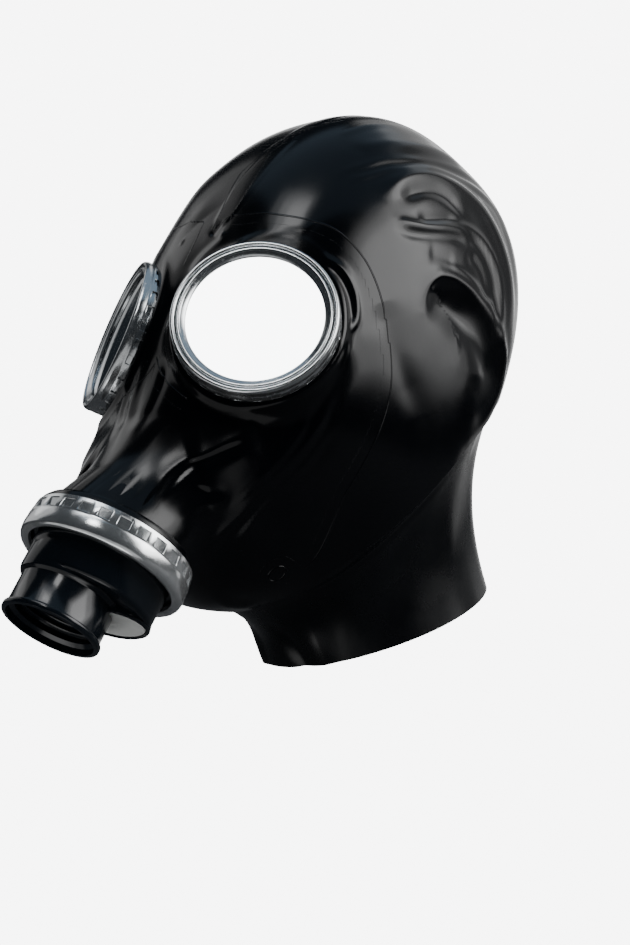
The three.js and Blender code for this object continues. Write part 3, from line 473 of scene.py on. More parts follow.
# %% Fold tables
# name, stations, width, lift, dip beside it, and where that dip lies: how many widths to the
# left of the line's course (to the right if negative). Millimetres.
FOLDS = [
    ("crown shoulder", [(100, 29), (112, 31), (124, 34), (136, 38.5), (146, 43.5), (153, 50)],
        5.5, 1.2, 0.0, 1),
    ("crown swell", [(106, 22), (118, 23), (130, 25.5), (141, 30)], 3.0, 0.4, 0.15, -1.6),
    ("crown ripple", [(86, 35), (92, 34.5), (99, 35), (109, 35.7), (118, 37.5), (125, 39.4),
        (132, 41.6), (139, 44.3), (146, 47.4), (152, 51.5), (155, 57), (156, 63)],
        2.1, 0.45, 0.45, -1.7),
    ("crown ripple low", [(90, 38), (100, 38.5), (108, 38.8), (116, 39)], 2.0, 0.32, 0.24, -1.6),
    ("crown ripple third", [(113, 40.2), (122, 41), (129.5, 42.9), (136, 45.6), (142, 48.8),
        (148, 52.4), (151.5, 56), (152.5, 60), (151.5, 65), (150, 72), (148, 80)],
        2.3, 0.5, 0.5, -1.6),
    ("back roll", [(102, 47.5), (105, 45), (109, 43.6), (114, 43.2), (120, 43.6), (127.5, 45.2),
        (134, 48.4), (139.5, 52.4), (142.8, 56.6), (144, 62), (144.2, 69), (144, 76), (143.6, 83),
        (143.2, 90)], 6.0, 2.04, 0.48, 1.6),
    ("roll hollow", [(108, 47.4), (114.5, 46.9), (121, 47.4), (127, 49.4), (131, 52.6), (133, 57)],
        4.0, -1.7, 0.0, 1),
    ("roll low hollow", [(113, 54.2), (119, 54.9), (124.3, 55.7), (130.3, 57)], 3.0, -1.3, 0.0, 1),
    ("shelf crest", [(104.5, 53), (107, 54.9), (113, 56.5), (119, 57.7), (125.3, 59), (130, 60.6),
        (133.5, 62.5)], 2.5, 1.2, 0.9, -1.9),
    ("inner crest", [(123, 57), (130.9, 59), (134.5, 61), (137, 63.3), (138.6, 66.3), (139.6, 70),
        (140, 74), (139.8, 78), (139.2, 83), (138.4, 88), (137, 94)], 2.3, 0.8, 0.9, -2.4),
    ("inner hollow", [(130, 65.5), (133.5, 70), (134.6, 75), (134.8, 80)], 6.5, -1.43, 0.0, 1),
    ("tongue", [(114, 64.2), (119, 66), (124, 68.2)], 4.5, -0.6, 0.0, 1),
    ("ear crest high", [(119, 68), (121.8, 68.9), (124.7, 70.3), (127.5, 72.2), (130.4, 74.8),
        (133, 78), (135.5, 82), (138, 86), (140.5, 91), (142.5, 96)], 1.9, 0.6, 0.32, -1.6),
    ("ear crest", [(109.8, 82), (110.8, 77), (113, 73.4), (116.5, 71.6), (119, 71.7), (122, 72.3),
        (125, 73.7), (128.3, 76), (130.8, 78.5), (133.2, 81.4), (135.6, 84.6), (138, 88.5),
        (140.5, 93), (141.5, 99), (140, 105), (136.5, 111), (131, 116)], 4.0, 2.2, 2.6, -3.8),
    ("temple groove", [(91, 80), (93.5, 88), (96.5, 97), (101, 106), (106, 116)],
        7.5, -0.9, 0.0, 1),
    ("cheek fold", [(43, 121), (38.6, 122.3), (33.8, 123.3), (29.7, 124.2), (26, 124.7),
        (23, 125.2), (20.5, 125.6), (18.6, 126.2), (17.8, 127.1), (17.5, 128.2)],
        2.4, 1.15, 0.9, 1.7),
    ("cheek fold low", [(27, 126.8), (23.5, 128), (21, 128.9), (18.7, 129.4)],
        1.5, 0.65, 0.45, -1.6),
    ("upper cheek line", [(25, 114), (19.7, 116.2), (15.4, 118.1), (12.1, 119.8), (9.3, 121.3)],
        4.2, 0.3, 0.1, 1.7),
    ("snout roll", [(23, 134), (26.4, 133.3), (30, 134.3), (34.6, 135.6)], 3.0, 0.77, 0.35, 1.7),
    ("snout dent", [(23.5, 128.6), (27.5, 130.4), (30.5, 132)], 2.4, 0.49, 0.28, -1.6),
    ("long cheek fold", [(72, 109), (69.7, 113.8), (65.6, 121), (61.1, 126.2), (55.7, 130.1),
        (49.3, 133.6), (43.4, 136.3), (38.9, 138.5), (34.1, 140.2), (29, 142.4), (25, 144.5)],
        2.8, 0.99, 0.72, 1.7),
    ("long cheek fold high", [(63, 113), (60.1, 121), (55.6, 126.2), (50.3, 129.9), (44.5, 132.9),
        (39.4, 135.2), (35, 137)], 2.5, 0.77, 0.33, 1.6),
    ("long cheek fold low", [(71.5, 118.2), (67.4, 125.1), (61.8, 130.6), (55.1, 134.4),
        (48.6, 138), (42.8, 141), (37, 144.5)], 2.6, 0.72, 0.39, 1.6),
    ("jaw fold", [(24, 139), (21.5, 147), (19, 158), (27, 164), (43, 165)], 5.0, 0.96, 0.36, 1.6),
    ("bead behind ring", [(-2, 122.3), (4.7, 122.6), (7.7, 123.4), (10.6, 124.6), (14.1, 126.5),
        (17.3, 128.9), (19.8, 131.6), (21.9, 134), (23.2, 137.5), (23, 141.5)],
        2.2, 0.54, 0.36, -1.5),
    ("eye flap", [(71.5, 63.8), (74, 65.8), (77, 68.6), (79.5, 73), (80.9, 77.8), (81, 83.3),
        (80, 87.4), (77, 90.2), (73.6, 91.6)], 2.1, 1.04, 1.04, -1.9),
    ("boss edge", [(75.8, 92.5), (76.4, 96.5), (75.2, 101), (73, 104.5)], 1.1, 0.3, 0.3, -1.6),
    ("brow roll", [(44, 48.4), (53.4, 49.2), (62.4, 50.4), (66, 53)], 5.0, 0.3, 0.12, -1.6),
]
# Folds of one side only: positive turns are on the left, negative ones on the right
LONE_FOLDS = [
    ("left cheek bulge", [(24, 126), (34, 126), (46, 124)], 14.5, 3.0, 0.0, 1),
    ("right cheek bulge", [(-21, 127), (-31, 126), (-43, 123)], 15.5, 14.8, 0.0, 1),
    ("right crown band", [(-14, 36), (-30, 30), (-60, 27), (-100, 24)], 11, 1.1, 0.0, 1),
    ("pinch pocket", [(15, 36.5), (11.5, 39.5), (9, 42.6)], 3.2, -0.9, 0.0, 1),
    ("pinch roll right", [(23, 41.5), (20.2, 46.3), (15.6, 49.5), (10.4, 52.8), (5.6, 57), (2, 63)],
        3.4, 0.5, 0.3, -1.6),
    ("nose ridge", [(-6.5, 94), (-8, 101.5), (-8.6, 108), (-7.6, 113.4), (-5, 117.5), (-1.6, 120)],
        3.0, 0.7, 0.4, 1.6),
    ("nose ridge right", [(-16, 104), (-15, 109.5), (-14, 114.5), (-11, 118.3), (-7, 120.8)],
        3.0, 0.7, 0.3, 1.6),
    ("nose ridge left", [(1.8, 99), (2.2, 106), (1.8, 112), (1.5, 117), (2.6, 120.5)],
        3.6, 0.6, 0.3, 1.6),
    ("nose crease", [(7, 104), (6.5, 110), (5, 115.5), (4.4, 120)], 2.2, -0.4, 0.0, 1),
]
DENTS = [
    ("ear hollow", (116, 78), 11.0, -1.9),
    ("ear hollow low", (124, 84), 11, -1.6),
    ("crown dimple", (104, 30), 3.4, -0.35),
    ("cheek knob", (17.4, 128.5), 1.7, 0.5),
    ("brow nub", (18.8, 43.9), 1.4, 0.5),
    ("cheek hollow", (50, 143), 10, -1.2),
    ("nape hollow", (140, 122), 14, -1.2),
]
# Mould lines as stations; the first table is laid on both sides, the second only where it says
LINES = [
    [(23.5, 34.9), (31.3, 37), (44, 39.5), (54, 43.3), (63, 46.8), (71, 50.2), (77, 53.6),
        (82.1, 58.6), (86.8, 65.2), (89.8, 72.2), (91.8, 79.2), (93.2, 86.2), (94.2, 93), (95, 100),
        (94.6, 108), (92.5, 117), (88.5, 126), (83.5, 134), (79.1, 140.1), (73.9, 151.7),
        (67.4, 156.4)],
    [(-1.2, 99.2), (5.7, 106.3), (14.5, 110.7), (20, 113)],
    [(72.3, 91.7), (71.4, 97.7), (67.9, 103.0)],
]
LONE_LINES = [
    [(-24, 35), (-16, 34.3), (-7.5, 34.3), (-5.8, 38), (-5, 44), (-4.9, 50), (-5, 56)],
    [(134, 16), (111, 6.4), (40, 4.2), (4, 11), (2.5, 16), (4, 19.5), (6.4, 25), (8.6, 30), (8, 35),
        (6.3, 39)],
    [(135, 19), (113, 11.4), (80, 8.4), (54, 8.2), (43.6, 12.4), (37.5, 17), (32, 21.8),
        (27.9, 26.2), (25.5, 29.5), (21.9, 33.6), (15.3, 36.7), (10.4, 39.7)],
]
# A small embossed ring under the jaw
ring_angles = [math.radians(a) for a in range(0, 361, 30)]
LONE_LINES.append([(52.5 + 4.6 * math.sin(a), 155.6 + 2 * math.cos(a)) for a in ring_angles])
FAR_SIDE_SHARE = 0.85


def smooth_line(stations, count):
    """A Catmull-Rom curve through the stations, in degrees."""
    p = np.array(stations, float)
    p = np.vstack([2 * p[0] - p[1], p, 2 * p[-1] - p[-2]])
    out = []
    for u in np.linspace(0, len(p) - 3 - 1e-9, count):
        k, t = int(u), u % 1
        a, b, c, d = p[k:k + 4]
        square, cube = 2 * a - 5 * b + 4 * c - d, 3 * b - a - 3 * c + d
        out.append(0.5 * (2 * b + (c - a) * t + square * t ** 2 + cube * t ** 3))
    return np.array(out)


def on_form(stations, side=1, count=110):
    """The line laid on the form, as points in millimetres."""
    degrees = smooth_line(stations, count)
    rays = direction(np.radians(side * degrees[:, 0]), np.radians(degrees[:, 1]))
    return MIDDLE + rays * reach(rays)[:, None]


def beside(points, rays, path, limit):
    """For points within the limit of a path: which ones, how far off, how far along, which side."""
    low, high = path.min(0) - limit, path.max(0) + limit
    near = np.nonzero(((points > low) & (points < high)).all(-1))[0]
    p, n = points[near], rays[near]
    best, along, hand = np.full(len(near), 1e9), np.zeros(len(near)), np.ones(len(near))
    for k in range(len(path) - 1):
        step = path[k + 1] - path[k]
        offset = p - path[k]
        t = np.clip(offset @ step / (step @ step), 0, 1)
        gap = np.linalg.norm(offset - t[:, None] * step, axis=1)
        closer = gap < best
        turn = np.einsum("ij,ij->i", np.cross(step, offset), n)
        best, along = np.where(closer, gap, best), np.where(closer, (k + t) / (len(path) - 1), along)
        hand = np.where(closer, np.where(turn < 0, -1, 1), hand)
    return near, best, along, hand


def fade_ends(along, start=0.07, run=0.29):
    """Falls off towards both ends of a line; with start 0 it reaches zero there."""
    t = np.clip((np.minimum(along, 1 - along) + start) / run, 0, 1)
    return t * t * (3 - 2 * t)


TROUGH_WIDTH, CREST_POWER = 0.62, 1.7


def lift_of(fold, side, points, rays):
    """Where one fold acts, and its lift there."""
    _, stations, width, lift, dip, place = fold
    near, gap, along, hand = beside(points, rays, on_form(stations, side), (abs(place) + 2.2) * width)
    across = hand * side * gap / width
    crest = np.exp(-np.abs(across) ** CREST_POWER)
    trough = hill(across, place, TROUGH_WIDTH * abs(place))
    return near, fade_ends(along) * lift * crest - fade_ends(along, 0, 0.25) * dip * trough


def fold_lift(points, rays):
    """The lift of all folds and dents at points on the form."""
    total = np.zeros(len(points))
    both = [(fold, side) for side in (1, -1) for fold in FOLDS]
    for fold, side in both + [(fold, 1) for fold in LONE_FOLDS]:
        near, lift = lift_of(fold, side, points, rays)
        total[near] += lift * (1.0 if side > 0 else FAR_SIDE_SHARE)
    for side, share in ((1, 1.0), (-1, FAR_SIDE_SHARE)):
        for _, (turn, drop), width, lift in DENTS:
            ray = direction(np.radians([side * turn]), np.radians([drop]))
            middle = MIDDLE + ray[0] * reach(ray)[0]
            total += share * lift * hill(np.linalg.norm(points - middle, axis=1), 0, width)
    return total


print("folds:", len(FOLDS) + len(LONE_FOLDS), "dents:", len(DENTS))
print("mould lines:", len(LINES) + len(LONE_LINES))

# %% [markdown]
# The mould also leaves a raised strip down the middle, from the brow over the crown, which the
# rubber pinches together above the nose.

# %% Middle strip
STRIP_PLACE, STRIP_RISE = 11.0, 0.35


def strip_lift(points, drop):
    """The strip over the crown, a little to the left of the middle, and the crease down the nose."""
    back = points[:, 1] > MIDDLE[1]
    drop = np.where(back, -np.degrees(drop), np.degrees(drop))
    middle = np.interp(drop, [-110, -20, 0, 25, 40, 46],
                       [4, STRIP_PLACE + 3, STRIP_PLACE + 2, STRIP_PLACE + 1, 9.5, 8])
    half = np.interp(drop, [-110, -20, 0, 20, 34, 41], [5.5, 4.5, 5.5, 8.8, 6.5, 1.5])
    away = np.abs(points[:, 0] - middle)
    edge = np.clip((half + 1.4 - away) / 2.8, 0, 1)
    ends = np.clip((42 - drop) / 4, 0, 1) * np.clip((drop + 110) / 10, 0, 1)
    strip = STRIP_RISE * edge * edge * (3 - 2 * edge) * ends
    crease = -1.4 * hill(points[:, 0], 1, 6) * hill(drop, 74, 20)
    return strip + crease


print("strip ready")

# %% The helmet's two faces
COLUMNS, ROWS, INNER_STEP = 384, 232, 4
# Folds fade out near the eyepieces (radius) and the mouth (distance behind the ring's front)
EYE_CALM_RADIUS, EYE_CALM_RUN, MOUTH_CALM_DEPTH, MOUTH_CALM_RUN = 43.2, 2.6, 18.5, 4


def skin(turn, drop):
    """Outer face at directions given as arrays, with rays."""
    rays = direction(turn, drop)
    plain = MIDDLE + rays * reach(rays)[..., None]
    flat, flat_rays = plain.reshape(-1, 3), rays.reshape(-1, 3)
    calm = np.ones(len(flat))
    for axis in eye_axes.values():
        offset = flat - axis.origin
        s = offset @ axis.out
        radius = np.linalg.norm(offset - s[:, None] * axis.out, axis=1)
        calm *= np.clip((radius - EYE_CALM_RADIUS) / EYE_CALM_RUN, 0, 1)
    offset = flat - mouth_axis.origin
    s = offset @ mouth_axis.out
    calm *= np.clip((-s - MOUTH_CALM_DEPTH) / MOUTH_CALM_RUN, 0, 1)
    lift = (fold_lift(flat, flat_rays) + strip_lift(flat, drop.reshape(-1))) * calm
    return plain + rays * lift.reshape(drop.shape)[..., None], rays


def spaced(count, values, density):
    """The given number of values, closer together where the density is high."""
    total = np.concatenate([[0], np.cumsum((density[1:] + density[:-1]) / 2 * np.diff(values))])
    return np.interp(np.arange(1, count + 1) / count * total[-1], total, values)


around = np.linspace(-180, 180, 1441)
crowding = 0.8 + 1.5 * hill(abs(around), 20, 13)
crowding = crowding + 0.7 * hill(abs(around), 76, 9) + 0.6 * hill(abs(around), 125, 26)
turns = np.radians(spaced(COLUMNS, around, crowding))
edges = edge_drop(turns)
drop_columns = []
for turn, edge in zip(np.degrees(turns), np.degrees(edges)):
    down = np.linspace(0, edge, 900)
    density = 0.4 + 0.45 * np.clip(down / 25, 0, 1)
    density += 2.8 * hill(down, 119, 6) * hill(turn, 0, 30)
    density += 1.2 * hill(down, 132, 12) * hill(turn, 0, 45)
    density += 0.7 * hill(down, 60, 24) * hill(abs(turn), 125, 32)
    drop_columns.append(np.radians(spaced(ROWS, down, density)))
turn_grid = np.broadcast_to(turns, (ROWS, COLUMNS)).copy()
drop_grid = np.array(drop_columns).T
outer, rays = skin(turn_grid, drop_grid)


def grid_normals(rows):
    """Outward normals of rows of points that go round once each."""
    down = np.gradient(rows, axis=0)
    round_ = np.roll(rows, -1, 1) - np.roll(rows, 1, 1)
    normal = np.cross(down, round_)
    return normal / np.maximum(np.linalg.norm(normal, axis=-1, keepdims=True), 1e-9)


normals = grid_normals(outer)
facing = np.maximum(np.abs(np.einsum("ijk,ijk->ij", normals, rays)), 0.5)
inner = outer - rays * (HELMET_WALL / facing)[..., None]
print("skin grid:", outer.shape, "low", outer.min((0, 1)).round(1), "high", outer.max((0, 1)).round(1))

# %% Mesh building
def grid_faces(rows, columns, start=0):
    r, c = np.meshgrid(np.arange(rows - 1), np.arange(columns), indexing="ij")
    a, b = start + r * columns + c, start + r * columns + (c + 1) % columns
    return np.stack([a, a + columns, b + columns, b], -1).reshape(-1, 4)


def mesh_object(name, points_mm, faces):
    """A mesh made from points in millimetres; used where the modelling tools can't give the form."""
    mesh = bpy.data.meshes.new(name)
    mesh.from_pydata((np.asarray(points_mm) * MM).tolist(), [], [list(map(int, f)) for f in faces])
    mesh.validate()
    obj = bpy.data.objects.new(name, mesh)
    bpy.context.scene.collection.objects.link(obj)
    return obj


def alone(obj):
    """Selects one object and makes it active."""
    if bpy.context.object and bpy.context.object.mode != "OBJECT":
        bpy.ops.object.mode_set(mode="OBJECT")
    bpy.ops.object.select_all(action="DESELECT")
    obj.select_set(True)
    bpy.context.view_layer.objects.active = obj


def smooth(obj, angle=32):
    alone(obj)
    bpy.ops.object.shade_smooth_by_angle(angle=math.radians(angle))


def open_for_round_pieces(points, faces):
    """Drops the faces that lie under the eyepieces and in the mouth."""
    centre = points[faces].mean(1)
    keep = np.ones(len(faces), bool)
    openings = ((eye_axes["left"], 36.5, -26), (eye_axes["right"], 36.5, -26), (mouth_axis, 36, -18.5))
    for axis, radius, behind in openings:
        offset = centre - axis.origin
        s = offset @ axis.out
        off = np.linalg.norm(offset - s[:, None] * axis.out, axis=1)
        keep &= ~((off < radius) & (s > behind))
    return faces[keep]


crown_height = skin(np.zeros(1), np.zeros(1))[0][0, 2]
tip = np.array([MIDDLE[0], MIDDLE[1], crown_height])
outer_points = outer.reshape(-1, 3)
quads = open_for_round_pieces(outer_points, grid_faces(ROWS, COLUMNS))
coarse = inner[INNER_STEP - 1::INNER_STEP, ::INNER_STEP]
inner_rows, inner_columns = coarse.shape[:2]
inner_points = coarse.reshape(-1, 3)
inner_quads = open_for_round_pieces(inner_points, grid_faces(inner_rows, inner_columns))[:, ::-1]
points = np.vstack([outer_points, tip[None], inner_points, (tip - [0, 0, HELMET_WALL])[None]])
tip_at, inner_at = len(outer_points), len(outer_points) + 1
faces = [tuple(q) for q in quads] + [tuple(q + inner_at) for q in inner_quads]
faces += [(tip_at, c, (c + 1) % COLUMNS) for c in range(COLUMNS)]
inner_tip = len(points) - 1
faces += [(inner_tip, inner_at + (c + 1) % inner_columns, inner_at + c) for c in range(inner_columns)]
last_outer = (ROWS - 1) * COLUMNS
last_inner = inner_at + (inner_rows - 1) * inner_columns
for c in range(inner_columns):
    first = c * INNER_STEP
    fan = [last_outer + (first + k) % COLUMNS for k in range(INNER_STEP + 1)]
    faces.append((*fan[::-1], last_inner + c, last_inner + (c + 1) % inner_columns))
helmet_skin = mesh_object("helmet_skin", points, faces)
print("helmet skin faces:", len(faces))

# %% Mould line attributes
LINE_REACH, LINE_SAMPLES = 6, 160
line_offset, line_fade = np.full(len(points), 5.0), np.zeros(len(points))
best = np.full(len(outer_points), 1e9)
flat_rays = rays.reshape(-1, 3)
all_lines = [(line, side) for side in (1, -1) for line in LINES] + [(line, 1) for line in LONE_LINES]
for stations, side in all_lines:
    path = on_form(stations, side, LINE_SAMPLES)
    near, gap, along, hand = beside(outer_points, flat_rays, path, LINE_REACH)
    closer = (gap < best[near]) & (gap < LINE_REACH)
    chosen = near[closer]
    best[chosen] = gap[closer]
    line_offset[chosen] = (gap * hand)[closer]
    near_end = np.clip(np.minimum(along, 1 - along)[closer] * 14, 0, 1)
    line_fade[chosen] = near_end * np.clip(3 - gap[closer] / 2, 0, 1)
for name, values in (("line_offset", line_offset), ("line_fade", line_fade)):
    attribute = helmet_skin.data.attributes.new(name, "FLOAT", "POINT")
    attribute.data.foreach_set("value", values.astype(np.float32))
print("points on mould lines:", int((best < LINE_REACH).sum()))

# %% [markdown]
# ## Round pieces
# Rims, rings and seats are turned pieces. Each starts as a circle, and its edge is extruded and
# resized along a profile, like a vase on a wheel. The profile lists radius and distance out, in
# millimetres, and the piece is then set on its axis.

# %% Turning helpers
def turned(name, profile, sides=112, closed=True):
    """Extrudes a circle along a profile of (radius, distance out); closed profiles make rings."""
    bpy.ops.object.select_all(action="DESELECT")
    first_radius, first_out = profile[0]
    bpy.ops.mesh.primitive_circle_add(vertices=sides, radius=first_radius * MM, location=(0, 0, 0),
                                      fill_type="NOTHING" if closed else "NGON")
    obj = bpy.context.object
    obj.name = obj.data.name = name
    bpy.ops.object.mode_set(mode="EDIT")
    bpy.ops.mesh.select_all(action="SELECT")
    bpy.ops.transform.translate(value=(0, 0, first_out * MM))
    stations = list(profile) + ([profile[0]] if closed else [])
    for (r0, s0), (r1, s1) in zip(stations, stations[1:]):
        bpy.ops.mesh.extrude_region_move(TRANSFORM_OT_translate={"value": (0, 0, (s1 - s0) * MM)})
        bpy.ops.transform.resize(value=(r1 / r0, r1 / r0, 1), center_override=(0, 0, s1 * MM))
    bpy.ops.mesh.select_all(action="SELECT")
    bpy.ops.mesh.remove_doubles(threshold=0.004 * MM)
    bpy.ops.mesh.normals_make_consistent(inside=False)
    bpy.ops.object.mode_set(mode="OBJECT")
    return obj


def set_on(obj, axis):
    """Moves a finished piece onto its axis and leaves its object at the origin."""
    obj.data.transform(axis.matrix())
    return obj


def press_in(obj, chosen, depth, slope=0.0):
    """Presses the chosen faces in, in millimetres, and their front edge deeper by the slope."""
    alone(obj)
    bpy.ops.object.mode_set(mode="EDIT")
    bpy.ops.mesh.select_all(action="DESELECT")
    bpy.ops.object.mode_set(mode="OBJECT")
    for polygon in obj.data.polygons:
        polygon.select = bool(chosen(polygon))
    bpy.ops.object.mode_set(mode="EDIT")
    bpy.ops.mesh.select_mode(type="FACE")
    bpy.ops.mesh.extrude_region_shrink_fatten(TRANSFORM_OT_shrink_fatten={"value": -depth * MM})
    bpy.ops.mesh.select_mode(type="VERT")
    bpy.ops.object.mode_set(mode="OBJECT")
    pressed = [v for v in obj.data.vertices if v.select]
    low, high = min(v.co.z for v in pressed), max(v.co.z for v in pressed)
    for v in pressed:
        radius = math.hypot(v.co.x, v.co.y)
        shrink = 1 - slope * MM * (v.co.z - low) / (high - low) / radius
        v.co.x, v.co.y = v.co.x * shrink, v.co.y * shrink


def soften(obj, width_mm, segments=2, angle=40):
    """Rounds the sharp edges."""
    alone(obj)
    modifier = obj.modifiers.new("soften", "BEVEL")
    modifier.width = width_mm * MM
    modifier.segments = segments
    modifier.limit_method = "ANGLE"
    modifier.angle_limit = math.radians(angle)
    bpy.ops.object.modifier_apply(modifier=modifier.name)


def copy_of(obj, name):
    twin = obj.copy()
    twin.data = obj.data.copy()
    twin.name = twin.data.name = name
    bpy.context.scene.collection.objects.link(twin)
    return twin


def merged(name, *objs):
    """Joins pieces into the first one's object, under a new name."""
    alone(objs[0])
    for obj in objs[1:]:
        obj.select_set(True)
    bpy.ops.object.join()
    objs[0].name = objs[0].data.name = name
    return objs[0]


def finish_piece(obj, finish, slot, *nodes):
    """The piece gets its finish, moves with the mask and stands for its nodes."""
    paint(obj, finish)
    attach(obj, "root")
    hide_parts(*nodes)
    print(obj.name, "faces:", len(obj.data.polygons))


print("turning helpers ready")

# %% [markdown]
# ## Helmet
# The seats for the eyepieces and the collar of the snout are part of the hood's moulding.

# %% Helmet
SEAT_RADIUS = RIM_RADIUS - 1.2 - PART_GAP
seats = []
for side, axis in eye_axes.items():
    low, high, bore = -16, -5.6, SEAT_RADIUS - 7
    seat = turned("seat", [(bore, low), (SEAT_RADIUS, low), (SEAT_RADIUS, high), (bore, high)])
    seats.append(set_on(seat, axis))
SNOUT_RADIUS = 40.2
snout_collar = turned("snout_collar", [(30, -21), (SNOUT_RADIUS - 1.5, -21), (SNOUT_RADIUS, -19),
    (SNOUT_RADIUS, -3.8), (SNOUT_RADIUS - 2, -3.8), (SNOUT_RADIUS - 2, -15.3), (30, -15.3)])
seats.append(set_on(snout_collar, mouth_axis))
helmet = merged("helmet_hood", helmet_skin, *seats)
smooth(helmet, 50)
finish_piece(helmet, moulded_rubber, "moulded_rubber", "helmet")

# %% [markdown]
# ## Neck collar
# A thin rubber sleeve, glued inside the hood's lower edge. It draws in to the neck and flares a
# little to its hem, and it creases where it is pulled.

# %% Neck collar
COLLAR_ROWS, OVERLAP_SHARE = 54, 0.955
NECK = {"half_width": 54, "half_length": 59, "forward": 5}
HEM = {"half_width": 57, "half_length": 63, "backward": 5, "front_drop": 290, "nape_drop": 243}
COLLAR_COLUMNS = 240
collar_even = 2 * math.pi * np.arange(COLLAR_COLUMNS) / COLLAR_COLUMNS
collar_turns = collar_even - 0.2 * np.sin(2 * collar_even) / 2
collar_edges = edge_drop(collar_turns)
overlap_drops = np.array([OVERLAP_SHARE, 0.97, 0.985, 1.0])[:, None] * collar_edges[None, :]
top_rows, top_rays = skin(np.broadcast_to(collar_turns, overlap_drops.shape).copy(), overlap_drops)
top_rows = top_rows - top_rays * (HELMET_WALL + PART_GAP + 0.15)
top = top_rows[-1]
sleeve = []
for share in np.arange(1, COLLAR_ROWS + 1) / COLLAR_ROWS:
    pull, flare = (1 - share) ** 3, share ** 3
    width = NECK["half_width"] + (HEM["half_width"] - NECK["half_width"]) * flare
    length = NECK["half_length"] + (HEM["half_length"] - NECK["half_length"]) * flare
    middle = -NECK["forward"] + (HEM["backward"] + NECK["forward"]) * flare
    turn = np.arctan2(top[:, 0], -(top[:, 1] + NECK["forward"]))
    hem = -(HEM["front_drop"] + (HEM["nape_drop"] - HEM["front_drop"]) * (1 - np.cos(turn)) / 2)
    neck = np.stack([width * np.sin(turn), middle - length * np.cos(turn)], -1)
    level = neck + (top[:, :2] - neck) * pull
    sleeve.append(np.column_stack([level, top[:, 2] + (hem - top[:, 2]) * share]))
collar_rows = np.concatenate([top_rows, np.array(sleeve)])
collar_normals = grid_normals(collar_rows)
share_grid = np.concatenate([np.zeros(4), np.arange(1, COLLAR_ROWS + 1) / COLLAR_ROWS])[:, None]
turn_degrees = np.degrees(np.arctan2(collar_rows[..., 0], -collar_rows[..., 1]))
wrinkles = np.zeros(turn_degrees.shape)
# turn at the top and at the hem, width in degrees, lift, share where it is strongest, spread
for top_turn, hem_turn, width, lift, place, spread in (
        (14, 24, 5, 2.2, 0.75, 0.35), (2, 12, 4, -1.8, 0.8, 0.35), (34, 40, 6, 1.2, 0.5, 0.4),
        (-16, -22, 5, 1.8, 0.7, 0.35), (62, 58, 9, -0.9, 0.45, 0.3), (-60, -52, 9, -0.8, 0.5, 0.3),
        (96, 90, 9, 0.8, 0.5, 0.3), (-100, -92, 8, 0.8, 0.5, 0.3)):
    centre = top_turn + (hem_turn - top_turn) * share_grid
    wrinkles += lift * hill(turn_degrees, centre, width) * hill(share_grid, place, spread)
crease_row = 0.10 + 0.05 * np.sin(np.radians(turn_degrees) * 2)
wrinkles -= 1.2 * hill(share_grid, crease_row, 0.035) * hill(np.abs(turn_degrees), 62, 30)
collar_outer = collar_rows + collar_normals * (wrinkles * np.clip(share_grid * 8, 0, 1))[..., None]
collar_inner = collar_outer - grid_normals(collar_outer) * COLLAR_WALL
collar_count = len(collar_rows)
size = collar_count * COLLAR_COLUMNS
faces = [tuple(q) for q in grid_faces(collar_count, COLLAR_COLUMNS)]
faces += [tuple(q[::-1] + size) for q in grid_faces(collar_count, COLLAR_COLUMNS)]
for c in range(COLLAR_COLUMNS):
    n = (c + 1) % COLLAR_COLUMNS
    faces.append((c, n, size + n, size + c))
    low = (collar_count - 1) * COLLAR_COLUMNS
    faces.append((low + n, low + c, size + low + c, size + low + n))
collar_points = np.vstack([collar_outer.reshape(-1, 3), collar_inner.reshape(-1, 3)])
collar = mesh_object("neck_sleeve", collar_points, faces)
smooth(collar, 60)
finish_piece(collar, thin_rubber, "thin_rubber", "neck_collar")

# %% [markdown]
# ## Eyepieces
# A plated rim is crimped over the rubber: a rounded bead in front, a smooth band, and a row of
# pressed tabs at the back. Inside it a second ring holds the mirror-like pane.

# %% Eye clamps
RIM_TABS, TAB_STEPS = 28, 8
CLAMP_PROFILE = [(38.1, -5.3), (39.8, -5.3), (39.8, -10.0), (40.9, -10.0), (41.0, -9.8),
    (41.0, -5.7), (40.75, -5.2), (40.85, -4.4), (40.95, -2.6), (40.8, -1.5), (40.45, -0.7),
    (39.95, -0.18), (39.4, 0.0), (38.9, -0.15), (38.5, -0.6), (38.2, -1.3)]
clamp = turned("clamp", CLAMP_PROFILE, RIM_TABS * TAB_STEPS)


def in_recess(polygon, low, high, count, steps, wide, radius):
    x, y, z = (c / MM for c in polygon.center)
    step = int(round((math.degrees(math.atan2(y, x)) % 360) / (360 / (count * steps)) - 0.5))
    return low < z < high and math.hypot(x, y) > radius and step % steps < wide


press_in(clamp, lambda f: in_recess(f, -10.0, -5.6, RIM_TABS, TAB_STEPS, 4, 40.6), 0.25, 0.9)
soften(clamp, 0.16, 1, 50)
smooth(clamp, 35)
for side, axis in eye_axes.items():
    rim = set_on(copy_of(clamp, f"eye_rim_{side}"), axis)
    finish_piece(rim, plated_steel, "plated_steel", f"eye_clamp_{side}")
bpy.data.objects.remove(clamp)

